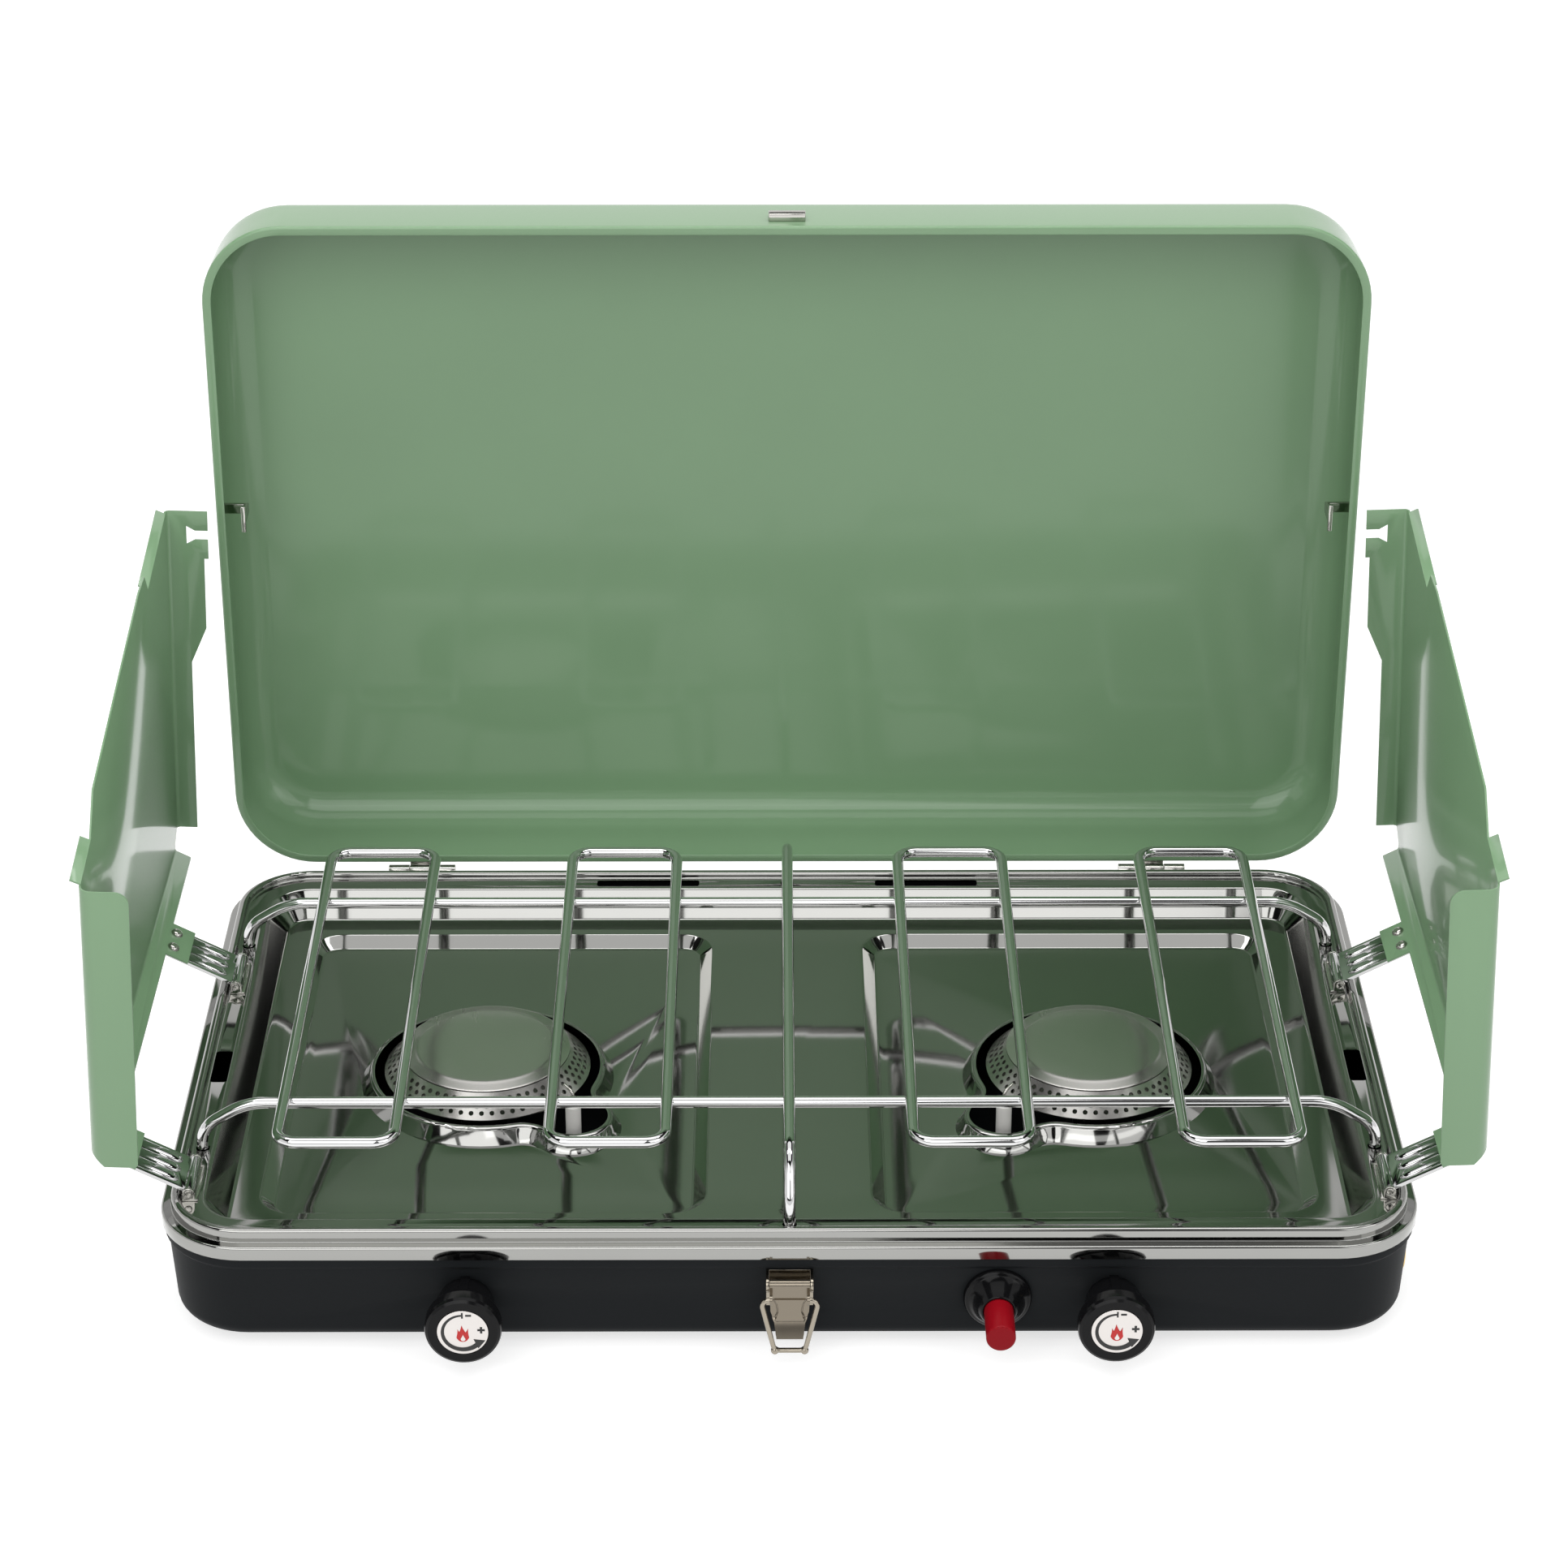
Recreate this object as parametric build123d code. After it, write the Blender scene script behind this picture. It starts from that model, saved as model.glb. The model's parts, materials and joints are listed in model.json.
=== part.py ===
from build123d import *
import os
from math import atan2, cos, degrees, radians, sin, tan

# Driving dimensions, in millimetres and degrees.
# +X right, +Y to the back, +Z up. The sizes below count from the middle of the base; the finished nodes
# are moved along Y so that the origin lies on the ground below the middle of the whole open stove.

# Overall size of the base and its levels
base_width = 540.0
base_depth = 330.0
corner_radius = 38.0
foot_height = 6.0
wall_height = 43.5
sheet = 0.8
face_gap = 0.05
part_gap = 0.3

# Stepped rim of the cooktop tray, measured inward from its outer band
band_height = 6.0
shoulder_width = 4.5
bead_width = 4.0
bead_rise = 6.0
ledge_rise = 3.0
ledge_width = 10.0
tray_wall_run = 9.5
tray_depth = 12.5
tray_floor_lap = 4.0

# Burner basins stamped into the tray floor
basin_width = 200.0
basin_length = 252.0
basin_center_x = 133.0
basin_depth = 5.0
basin_corner = 18.0
basin_wall_run = 6.0
basin_lap = 3.0

# Lower housing
housing_sheet = 0.9
housing_bead_drop = 4.5
housing_bead_step = 1.5
housing_draft_run = 2.4
housing_bottom_radius = 8.0
housing_floor_lap = 19.0

# Feet and their screws
foot_radius = 10.0
foot_taper = 2.0
foot_x = 205.0
foot_y = 115.0
screw_radius = 1.8
screw_head_radius = 3.5
screw_head_height = 2.0
screw_reach = 5.0

# Burners
burner_x = 137.5
burner_y = -4.0
collar_radius = 58.0
collar_height = 7.0
collar_slope = 30.0
collar_roll = 2.6
collar_lip = 2.0
lobe_radius = 22.0
lobe_in = 41.0
lobe_front = 43.0
lobe_blend = 9.0
burner_rim_radius = 47.0
burner_top_radius = 38.0
burner_rim_rise = 7.0
burner_top_rise = 16.0
burner_stem_radius = 13.0
burner_bowl_drop = 7.0
burner_sheet = 1.2
cap_thickness = 1.6
cap_dome = 1.2
boss_reach = 12.0

# Wire grate
wire_radius = 2.6
grate_rise = 23.0
cross_wire_inset = 75.0
wire_bend_radius = 30.0
wire_foot_radius = 14.0
center_bend_radius = 18.0
wire_slope_run = 20.0
wire_hole_clearance = 0.5
wire_dip = 2.0
loop_pitch_inner = 78.0
loop_pitch_outer = 194.0
loop_width = 50.0
loop_end_inset = 34.0
loop_corner = 9.0

# Gas train behind the front wall
control_z = 22.5
valve_radius = 8.0
valve_length = 46.0
neck_radius = 4.8
neck_reach = 1.8
valve_wall_gap = 1.0
stem_radius = 3.0
stem_insert = 12.0
stem_clearance = 0.06
jet_radius = 3.0
jet_length = 14.0
venturi_radius = 8.5
venturi_bell = 11.0
venturi_wall = 1.0
pipe_radius = 4.0
pipe_back = 40.0
inlet_radius = 11.0
inlet_bore = 8.0
inlet_bore_depth = 15.0
inlet_length = 22.0

# Knobs
knob_gap = 2.5
knob_length = 24.0
knob_back_radius = 12.5
knob_front_radius = 16.3
knob_waist = 17.0
dial_radius = 10.8
dial_thickness = 0.8
dial_clearance = 0.15
grip_sides = 12
grip_cut = 1.3

# Push igniter
igniter_x = 88.5
bezel_radius = 14.5
bezel_depth = 12.0
bezel_ring = 3.2
bezel_shoulder = 2.2
bezel_lip = 0.9
bezel_wall = 1.6
button_radius = 6.3
button_clearance = 0.08
button_reach = 32.0
button_travel = 6.0
igniter_body_radius = 8.2
igniter_body_length = 36.0
button_insert = 14.0
electrode_radius = 3.5
electrode_collar = 6.0
electrode_rise = 13.0
electrode_pin_radius = 0.8
lead_radius = 1.1
lead_z = 12.0

# Lid
lid_depth = 47.0
lid_draft_run = 1.2
lid_edge_radius = 17.0
lid_floor_lap = 21.0
lid_lip = 4.2
rim_gap = 0.3
hinge_side_inset = 90.0
hinge_setback = 4.5
knuckle_radius = 3.2
hinge_pin_radius = 1.5
pin_clearance = 0.06
knuckle_outer = 10.0
knuckle_inner = 12.0
knuckle_gap = 0.3
leaf_sheet = 1.2
leaf_height = 14.0
lug_ahead = 191.0
lug_inset = 13.5
lug_sheet = 2.0
lug_rise = 9.0
lug_drop = 5.0
lug_head = 13.0
lug_neck = 5.0
catch_width = 17.0
catch_rise = 7.0
catch_height = 9.0
catch_lip = 2.6

# Folding windscreens
screen_hinge_inset = 12.6
screen_pin_radius = 1.5
screen_barrel_radius = 2.6
ear_sheet = 1.2
arm_width = 25.0
arm_angle = 28.0
arm_thick = 1.4
arm_groove = 0.5
arm_groove_width = 3.4
arm_front_inset = 46.0
arm_rear_inset = 107.0
screen_offset = 38.6
screen_lean = 2.0
screen_top = 197.0
screen_front_drop = 46.0
screen_front_inset = 25.5
screen_rear_inset = 17.0
crest_rise = 15.0
crest_front_inset = 47.5
crest_rear_inset = 78.0
crest_run = 12.0
lip_width = 4.6
lip_angle = 25.0
flange_width = 8.0
flange_tab = 25.0
flange_bend = 2.4
tab_side = 1.6
front_flap_width = 21.0
front_flap_bottom = 18.0
front_bend = 5.5
flap_clip = 6.0
rear_bend = 2.5
rear_notch = 10.0
rear_strip_width = 10.5
rear_flap_low = 119.0
rear_flap_high = 137.0
rear_flap_inset = 2.0
hook_height = 24.0
hook_gap = 0.8
hook_slot = 4.6
hook_slot_end = 10.0
hook_slot_flare = 4.0
rivet_radius = 1.5
rivet_head = 3.0
rivet_spacing = 13.0
rivet_reach = 33.5

# Draw latch at the front
latch_width = 20.0
latch_sheet = 1.2
latch_plate_drop = 6.5
latch_plate_height = 18.0
latch_pivot_out = 8.0
latch_pivot_drop = 3.0
latch_pin_radius = 1.2
latch_barrel_radius = 2.4
latch_ear_radius = 3.2
lever_length = 24.0
lever_waist = 12.0
bail_wire = 1.1
bail_pivot_out = 5.6
bail_pivot_drop = 4.0
bail_top_half = 12.4
bail_bottom_half = 6.5
bail_length = 25.5
bail_corner = 3.0

# Slots in the tray ledge
lug_slot_length = 27.0
lug_slot_width = 7.5
hook_slot_in_ledge = 50.0
hook_slot_depth = 6.0
hook_slot_start = 43.0

# Levels and places that follow from the sizes above
half_width = base_width / 2
half_depth = base_depth / 2
cross_wire_y = half_depth - cross_wire_inset
loop_half_length = half_depth - loop_end_inset
z_floor = foot_height
z_band = z_floor + wall_height
z_shoulder = z_band + band_height
z_bead = z_shoulder + bead_rise
z_ledge = z_shoulder + ledge_rise
z_tray = z_ledge - tray_depth
z_basin = z_tray - basin_depth
burner_rim_z = z_basin + burner_rim_rise
burner_top_z = z_basin + burner_top_rise
burner_bowl_z = z_basin - burner_bowl_drop
electrode_top = z_basin + electrode_rise
latch_plate_high = z_band - latch_plate_drop
latch_plate_low = latch_plate_high - latch_plate_height
latch_pivot_z = latch_plate_high - latch_pivot_drop
bead_outer = shoulder_width
bead_inner = bead_outer + bead_width
ledge_inner = bead_inner + ledge_width
wall_foot = ledge_inner + tray_wall_run
floor_edge = wall_foot + tray_floor_lap
ledge_middle = bead_inner + ledge_width / 2
z_inside = z_floor + housing_sheet
z_control = z_floor + control_z
z_rim = z_shoulder + rim_gap
hinge_x = half_width - hinge_side_inset
hinge_y = half_depth + hinge_setback
housing_top_inset = sheet + part_gap
housing_slope_top = z_band - housing_bead_drop - housing_bead_step
housing_low_inset = housing_top_inset + housing_bead_step + housing_draft_run


def housing_inset(z):
    """Distance of the housing's outer wall from the outer band at a height on its sloping part."""
    share = (housing_slope_top - z) / (housing_slope_top - z_floor)
    return housing_top_inset + housing_bead_step + housing_draft_run * share


front_wall_y = -half_depth + housing_inset(z_control)
wall_lean = degrees(atan2(housing_draft_run, housing_slope_top - z_floor))
screen_hinge_x = half_width - screen_hinge_inset
screen_hinge_z = z_ledge + sheet + screen_barrel_radius + part_gap
crease_x = screen_hinge_x + screen_offset + sheet
crease_z = screen_hinge_z + arm_thick / 2 / cos(radians(arm_angle))
crease_z += (crease_x - screen_hinge_x) * tan(radians(arm_angle))
screen_top_z = screen_hinge_z + screen_top
arm_front_y = arm_front_inset - half_depth
arm_rear_y = half_depth - arm_rear_inset
screen_front_y = screen_front_inset - half_depth
screen_rear_y = half_depth - screen_rear_inset
crest_front_y = screen_front_y + crest_front_inset
crest_rear_y = screen_rear_y - crest_rear_inset
screen_slope = screen_front_drop / (screen_rear_y - screen_front_y)
foremost_y = front_wall_y - button_reach
rearmost_y = hinge_y + lid_depth
frame_shift = -(foremost_y + rearmost_y) / 2

nodes = {}


def sheet_face(points, radii, thickness, side=Side.RIGHT):
    """Closed section of a bent sheet whose one face follows the filleted points."""
    line = FilletPolyline(*points, radius=radii)
    return make_face(offset(line, thickness, side=side, closed=True).edges())


def rim_ring(section, width, depth, radius):
    """Carry a section (x inward from the outline, y up) round a rounded rectangle."""
    ring = None
    for turn in (0, 90, 180, 270):
        run, reach = (depth, width) if turn % 180 else (width, depth)
        start = Plane(origin=(-(run / 2 - radius), -reach / 2, 0), x_dir=(0, 1, 0), z_dir=(1, 0, 0))
        end = Plane(origin=(run / 2 - radius, -reach / 2, 0), x_dir=(0, 1, 0), z_dir=(1, 0, 0))
        center = Axis((run / 2 - radius, radius - reach / 2, 0), (0, 0, 1))
        straight = extrude(start * section, run - 2 * radius)
        corner = revolve(end * section, center, 90)
        side = Rot(Z=turn) * (straight + corner)
        ring = side if ring is None else ring + side
    return ring


def slab(width, depth, radius, z_low, z_high):
    """Flat plate with rounded corners between two levels."""
    return Pos(Z=z_low) * extrude(RectangleRounded(width, depth, radius), z_high - z_low)


def box_between(x0, x1, y0, y1, z0, z1):
    """Box given by its six limits."""
    return Pos((x0 + x1) / 2, (y0 + y1) / 2, (z0 + z1) / 2) * Box(x1 - x0, y1 - y0, z1 - z0)


def rod_x(radius, x0, x1, y, z):
    """Cylinder along X."""
    return Pos((x0 + x1) / 2, y, z) * Rot(Y=90) * Cylinder(radius, x1 - x0)


def rod_y(radius, y0, y1, x, z):
    """Cylinder along Y."""
    return Pos(x, (y0 + y1) / 2, z) * Rot(X=90) * Cylinder(radius, y1 - y0)


def rod_z(radius, z0, z1, x, y):
    """Cylinder along Z."""
    return Pos(x, y, (z0 + z1) / 2) * Cylinder(radius, z1 - z0)


def behind_front_wall():
    """Block that fills everything behind the outer face of the leaning front wall."""
    block = Pos(Y=half_depth / 2) * Box(base_width, half_depth, 4 * wall_height)
    return Pos(0, front_wall_y, z_control) * Rot(X=wall_lean) * block


def turned_y(points, x, z):
    """Solid of revolution about an axis along Y; the points are (radius, y)."""
    face = make_face(Polyline(*points, close=True))
    return Pos(x, 0, z) * revolve(face, Axis.Y, 360)


def turned_z(points, x, y):
    """Solid of revolution about a vertical axis; the points are (radius, z)."""
    face = Plane.XZ * make_face(Polyline(*points, close=True))
    return Pos(x, y, 0) * revolve(face, Axis.Z, 360)


def plate_in_xz(outline, y_low, thickness):
    """Flat plate standing across Y; the outline is given in x and z."""
    plane = Plane(origin=(0, y_low, 0), x_dir=(1, 0, 0), z_dir=(0, -1, 0))
    return Pos(Y=thickness) * extrude(plane * outline, thickness)


def plate_in_yz(outline, x_low, thickness):
    """Flat plate standing across X; the outline is given in y and z."""
    plane = Plane(origin=(x_low, 0, 0), x_dir=(0, 1, 0), z_dir=(1, 0, 0))
    return extrude(plane * outline, thickness)


def wire(points, radii, radius):
    """Bent round wire along filleted points."""
    path = FilletPolyline(*points, radius=radii)
    section = Plane(origin=path @ 0, z_dir=path % 0) * Circle(radius)
    return sweep(section, path)


def other_side(shape):
    """The same piece on the left of the stove."""
    return mirror(shape, about=Plane.YZ)


def both_sides(name, right):
    """Store a piece and its mirror image under right and left names."""
    nodes[name + "_right"] = right
    nodes[name + "_left"] = other_side(right)


# Cooktop tray: stepped rim, ledge, sloping walls, two basins and the raised burner collars

def burner_outline(grow=0.0):
    """Outline of the right burner's opening with the electrode lobe towards the middle."""
    lobe = Pos(-lobe_in, -lobe_front) * Circle(lobe_radius)
    shape = offset(Circle(collar_radius) + lobe, lobe_blend)
    return offset(shape, grow - lobe_blend)


def burner_collar():
    """Raised collar round the right burner's opening, rolled inward at its top."""
    low = z_basin - sheet
    outer = Pos(Z=low) * extrude(burner_outline(), collar_height + sheet, taper=collar_slope)
    outer = fillet(outer.edges().group_by(Axis.Z)[-1], collar_roll)
    inner = Pos(Z=low) * extrude(burner_outline(-sheet), collar_height, taper=collar_slope)
    inner = fillet(inner.edges().group_by(Axis.Z)[-1], collar_roll - sheet)
    top_inset = (collar_height + sheet) * tan(radians(collar_slope)) + collar_lip
    mouth = Pos(Z=low) * extrude(burner_outline(-top_inset), collar_height + 2 * sheet)
    return Pos(burner_x, burner_y) * (outer - inner - mouth)


def ledge_cuts():
    """Slots and holes through the ledge on the right half, for the wires, the lid lug and the hook."""
    low, high = z_ledge - 3 * sheet, z_ledge + sheet
    lug_y = hinge_y - lug_ahead
    lug_x = half_width - ledge_middle
    hook_y = half_depth - ledge_middle
    cuts = Pos(lug_x, lug_y) * slab(lug_slot_width, lug_slot_length, 1.5, low, high)
    hook_x = hook_slot_start + hook_slot_in_ledge / 2
    cuts += Pos(hook_x, hook_y) * slab(hook_slot_in_ledge, hook_slot_depth, 1.5, low, high)
    for y in (-cross_wire_y, cross_wire_y):
        cuts += rod_z(wire_radius + wire_hole_clearance, low, high, lug_x, y)
    return cuts


def cooktop_tray():
    rim = sheet_face(
        [
            (0, z_band),
            (0, z_shoulder),
            (bead_outer, z_shoulder),
            (bead_outer, z_bead),
            (bead_inner, z_bead),
            (bead_inner, z_ledge),
            (ledge_inner, z_ledge),
            (wall_foot, z_tray),
            (floor_edge, z_tray),
        ],
        [1.2, 0.5, 1.6, 1.6, 0.9, 2.0, 2.0],
        sheet,
    )
    tray = rim_ring(rim, base_width, base_depth, corner_radius)
    floor = slab(
        base_width - 2 * floor_edge,
        base_depth - 2 * floor_edge,
        corner_radius - floor_edge,
        z_tray - sheet,
        z_tray,
    )
    basin_section = sheet_face(
        [
            (0, z_tray),
            (basin_lap, z_tray),
            (basin_lap + basin_wall_run, z_basin),
            (2 * basin_lap + basin_wall_run, z_basin),
        ],
        [1.6, 1.6],
        sheet,
    )
    lap = 2 * basin_lap + basin_wall_run
    basin = rim_ring(basin_section, basin_width, basin_length, basin_corner)
    basin_floor = slab(
        basin_width - 2 * lap, basin_length - 2 * lap, basin_corner - lap, z_basin - sheet, z_basin
    )
    basin_floor = Pos(basin_center_x) * basin_floor
    mouth = Pos(burner_x, burner_y, z_basin - 2 * sheet) * extrude(burner_outline(-sheet), 3 * sheet)
    basin_floor = basin_floor - mouth + burner_collar()
    right = Pos(basin_center_x) * basin + basin_floor
    well = slab(basin_width, basin_length, basin_corner, z_tray - 2 * sheet, z_tray + sheet)
    well = Pos(basin_center_x) * well
    floor = floor - well - other_side(well)
    tray = tray + floor + right + other_side(right)
    cuts = ledge_cuts()
    tray = tray - cuts - other_side(cuts)
    for y in (-1, 1):
        end_y = y * (half_depth - ledge_middle)
        hole = wire_radius + wire_hole_clearance
        tray = tray - rod_z(hole, z_ledge - 3 * sheet, z_ledge + sheet, 0, end_y)
    return tray


# Lower housing, feet and screws

def base_housing():
    section = sheet_face(
        [
            (housing_low_inset + housing_floor_lap, z_floor),
            (housing_low_inset, z_floor),
            (housing_top_inset + housing_bead_step, housing_slope_top),
            (housing_top_inset, z_band - housing_bead_drop),
            (housing_top_inset, z_shoulder - sheet - face_gap),
        ],
        [housing_bottom_radius, 1.2, 1.2],
        housing_sheet,
    )
    shell = rim_ring(section, base_width, base_depth, corner_radius)
    edge = housing_low_inset + housing_floor_lap
    shell += slab(
        base_width - 2 * edge, base_depth - 2 * edge, corner_radius - edge, z_floor, z_inside
    )
    front, inside = -half_depth, -half_depth + housing_floor_lap
    for x in (-burner_x, burner_x):
        shell -= rod_y(neck_radius + part_gap / 2, front, inside, x, z_control)
    shell -= rod_y(igniter_body_radius + part_gap / 2, front, inside, igniter_x, z_control)
    inlet_y = front_wall_y + pipe_back
    wall_x = half_width - housing_floor_lap
    shell -= rod_x(inlet_radius + part_gap / 2, wall_x, half_width, inlet_y, z_control)
    for x in (-foot_x, foot_x):
        for y in (-foot_y, foot_y):
            shell -= rod_z(screw_radius + part_gap / 2, z_floor - 1, z_inside + 1, x, y)
    return shell


def foot():
    """Tapered rubber foot with a counterbore for its screw."""
    body = turned_z(
        [(0, 0), (foot_radius - foot_taper, 0), (foot_radius, foot_height), (0, foot_height)], 0, 0
    )
    head_seat = foot_height - screw_head_height
    body -= rod_z(screw_head_radius + part_gap, 0, head_seat, 0, 0)
    return body - rod_z(screw_radius + part_gap / 2, 0, foot_height, 0, 0)


def foot_screw():
    """Pan head screw that holds a foot to the housing floor."""
    seat = foot_height - screw_head_height
    head = turned_z(
        [
            (0, seat - screw_head_height),
            (screw_head_radius * 0.7, seat - screw_head_height),
            (screw_head_radius, seat - 0.5 * screw_head_height),
            (screw_head_radius, seat),
            (0, seat),
        ],
        0,
        0,
    )
    nut = Pos(Z=z_inside) * extrude(RegularPolygon(screw_head_radius, 6), screw_head_height)
    return head + rod_z(screw_radius, seat, z_inside + screw_reach, 0, 0) + nut


def at_each_foot(piece):
    """Four copies at the feet."""
    return Compound(children=[Pos(x, y) * piece for x in (-foot_x, foot_x) for y in (-foot_y, foot_y)])


# Burners, gas train and ignition

def burner_head():
    """Bowl of the right burner with its flame cone, standing on a stem on the housing floor."""
    skin = burner_sheet
    body = turned_z(
        [
            (0, z_inside),
            (burner_stem_radius, z_inside),
            (burner_stem_radius, burner_bowl_z),
            (burner_rim_radius, burner_rim_z - skin),
            (burner_rim_radius, burner_rim_z),
            (burner_top_radius, burner_top_z),
            (burner_top_radius - skin, burner_top_z),
            (burner_rim_radius - 2.6 * skin, burner_rim_z),
            (burner_stem_radius, burner_bowl_z + 1.6 * skin),
            (0, burner_bowl_z + 1.6 * skin),
        ],
        0,
        0,
    )
    boss_end = -burner_stem_radius - boss_reach
    boss = rod_y(venturi_radius, boss_end, 0, 0, z_control)
    bore = rod_y(venturi_radius - venturi_wall, boss_end, 0, 0, z_control)
    return Pos(burner_x, burner_y) * (body + boss - bore)


def burner_cap():
    """Domed cap that closes the top of the burner."""
    edge = burner_top_radius
    return turned_z(
        [
            (0, burner_top_z),
            (edge, burner_top_z),
            (edge, burner_top_z + 0.6 * cap_thickness),
            (0.55 * edge, burner_top_z + cap_thickness + 0.7 * cap_dome),
            (0, burner_top_z + cap_thickness + cap_dome),
        ],
        burner_x,
        burner_y,
    )


valve_front_y = front_wall_y + housing_sheet + valve_wall_gap
valve_rear_y = valve_front_y + valve_length
boss_front_y = burner_y - burner_stem_radius - boss_reach
pipe_y = front_wall_y + pipe_back


def venturi():
    """Mixing tube of the right burner, open round the jet."""
    mouth_y = valve_rear_y + 0.4 * jet_length
    bell_y = mouth_y + 8
    outer = turned_y(
        [
            (0, mouth_y),
            (venturi_bell, mouth_y),
            (venturi_radius, bell_y),
            (venturi_radius, boss_front_y),
            (0, boss_front_y),
        ],
        burner_x,
        z_control,
    )
    wall = venturi_wall
    inner = turned_y(
        [
            (0, mouth_y),
            (venturi_bell - wall, mouth_y),
            (venturi_radius - wall, bell_y),
            (venturi_radius - wall, boss_front_y),
            (0, boss_front_y),
        ],
        burner_x,
        z_control,
    )
    return outer - inner


def valve():
    """Brass valve of the right burner: body, neck through the front wall, and jet."""
    body = rod_y(valve_radius, valve_front_y, valve_rear_y, burner_x, z_control)
    neck = rod_y(neck_radius, front_wall_y - neck_reach, valve_front_y, burner_x, z_control)
    jet = rod_y(jet_radius, valve_rear_y, valve_rear_y + jet_length, burner_x, z_control)
    deep = valve_front_y + stem_insert + part_gap
    bore = rod_y(stem_radius + stem_clearance, front_wall_y - neck_reach, deep, burner_x, z_control)
    seats = rod_x(pipe_radius, burner_x - valve_radius, burner_x + valve_radius, pipe_y, z_control)
    return body + neck + jet - bore - seats


inlet_inner_x = half_width - housing_inset(z_control) - inlet_length


def gas_inlet():
    """Inlet socket in the right wall; the bore faces outward."""
    outer_x = inlet_inner_x + inlet_length
    body = rod_x(inlet_radius, inlet_inner_x, outer_x, pipe_y, z_control)
    body -= rod_x(inlet_bore, outer_x - inlet_bore_depth, outer_x, pipe_y, z_control)
    return body - rod_x(0.5 * pipe_radius, inlet_inner_x, outer_x, pipe_y, z_control)


def knob():
    """Right knob: tapered grip with flats round its waist and a recess for the dial."""
    back = front_wall_y - knob_gap
    front = back - knob_length
    waist = back - knob_waist
    body = turned_y(
        [
            (0, back),
            (knob_back_radius - 0.8, back),
            (knob_back_radius, back - 0.8),
            (knob_front_radius - 0.9, waist),
            (knob_front_radius, waist - 1.2),
            (knob_front_radius, front + 1.5),
            (knob_front_radius - 1.5, front),
            (0, front),
        ],
        0,
        0,
    )
    lean = Vector(0, -1).get_angle(Vector(knob_front_radius - knob_back_radius, -knob_waist))
    flat = Box(2 * knob_front_radius, knob_waist - 4, 2 * knob_front_radius)
    middle = (back + waist) / 2
    radius = (knob_back_radius + knob_front_radius) / 2 - grip_cut + knob_front_radius
    for k in range(grip_sides):
        turn = (k + 0.5) * 360 / grip_sides
        body -= Rot(Y=turn) * Pos(0, middle, radius) * Rot(X=-lean) * flat
    body -= rod_y(dial_radius + dial_clearance, front, front + dial_thickness, 0, 0)
    body -= rod_y(stem_radius, back - 0.6 * knob_length, back, 0, 0)
    return Pos(burner_x, 0, z_control) * body


def dial():
    """Round dial plate in the front of the right knob."""
    front = front_wall_y - knob_gap - knob_length
    return rod_y(dial_radius, front, front + dial_thickness, burner_x, z_control)


def valve_stem():
    """Stem that joins the right knob to its valve."""
    back = front_wall_y - knob_gap
    return rod_y(stem_radius, back - 0.6 * knob_length, valve_front_y + stem_insert, burner_x, z_control)


def igniter_bezel():
    """Flared collar round the igniter button: rounded foot ring on the front wall, cone up to the button."""
    seat = front_wall_y
    bore = button_radius + button_clearance
    deep = seat + bezel_wall
    body = turned_y(
        [
            (bore, seat - bezel_depth),
            (bore + bezel_lip, seat - bezel_depth),
            (bezel_radius - bezel_shoulder, seat - bezel_ring),
            (bezel_radius - 0.3 * bezel_shoulder, seat - bezel_ring),
            (bezel_radius, seat - bezel_ring + 0.5 * bezel_shoulder),
            (bezel_radius, deep),
            (bore, deep),
        ],
        igniter_x,
        z_control,
    )
    return body - behind_front_wall()


def igniter_body():
    """Spark unit behind the wall, bored for the button."""
    back = front_wall_y + igniter_body_length
    deep = front_wall_y + button_insert + button_travel + part_gap
    body = rod_y(igniter_body_radius, front_wall_y + housing_sheet, back, igniter_x, z_control)
    return body - rod_y(button_radius + button_clearance, front_wall_y, deep, igniter_x, z_control)


def igniter_button():
    button = rod_y(button_radius, foremost_y, front_wall_y + button_insert, igniter_x, z_control)
    return chamfer(button.edges().group_by(Axis.Y)[0], 0.6)


electrode_x = burner_x - lobe_in
electrode_y = burner_y - lobe_front


def electrode():
    """Ceramic electrode body in the right burner's lobe, standing on the housing floor."""
    return turned_z(
        [
            (0, z_inside),
            (electrode_collar, z_inside),
            (electrode_collar, z_inside + 9),
            (electrode_radius, z_inside + 11),
            (electrode_radius, electrode_top - 0.6),
            (electrode_radius - 0.6, electrode_top),
            (0, electrode_top),
        ],
        electrode_x,
        electrode_y,
    )


def electrode_pin():
    """Bent spark pin on the right electrode, pointing to the burner."""
    x, y, z = electrode_x, electrode_y, electrode_top
    return wire([(x, y, z), (x, y, z + 6), (x + 4, y + 4, z + 8)], [2.0], electrode_pin_radius)


def ignition_lead(stops):
    """Insulated lead that runs inside the housing."""
    return wire(stops, [4.0] * (len(stops) - 2), lead_radius)


def ignition_leads():
    body_low = z_control - igniter_body_radius
    near = front_wall_y + igniter_body_length - 6
    far = near - 7
    edge = electrode_collar + part_gap
    nodes["ignition_lead_right"] = ignition_lead(
        [
            (igniter_x, near, body_low),
            (igniter_x, near, lead_z),
            (igniter_x + 4, near + 30, lead_z),
            (electrode_x, electrode_y - edge, lead_z),
        ]
    )
    nodes["ignition_lead_left"] = ignition_lead(
        [
            (igniter_x, far, body_low),
            (igniter_x, far, lead_z),
            (igniter_x - 60, far + 26, lead_z),
            (-electrode_x + 30, electrode_y - 16, lead_z),
            (-electrode_x + edge + lead_radius, electrode_y, lead_z),
        ]
    )


# Wire grate

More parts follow.
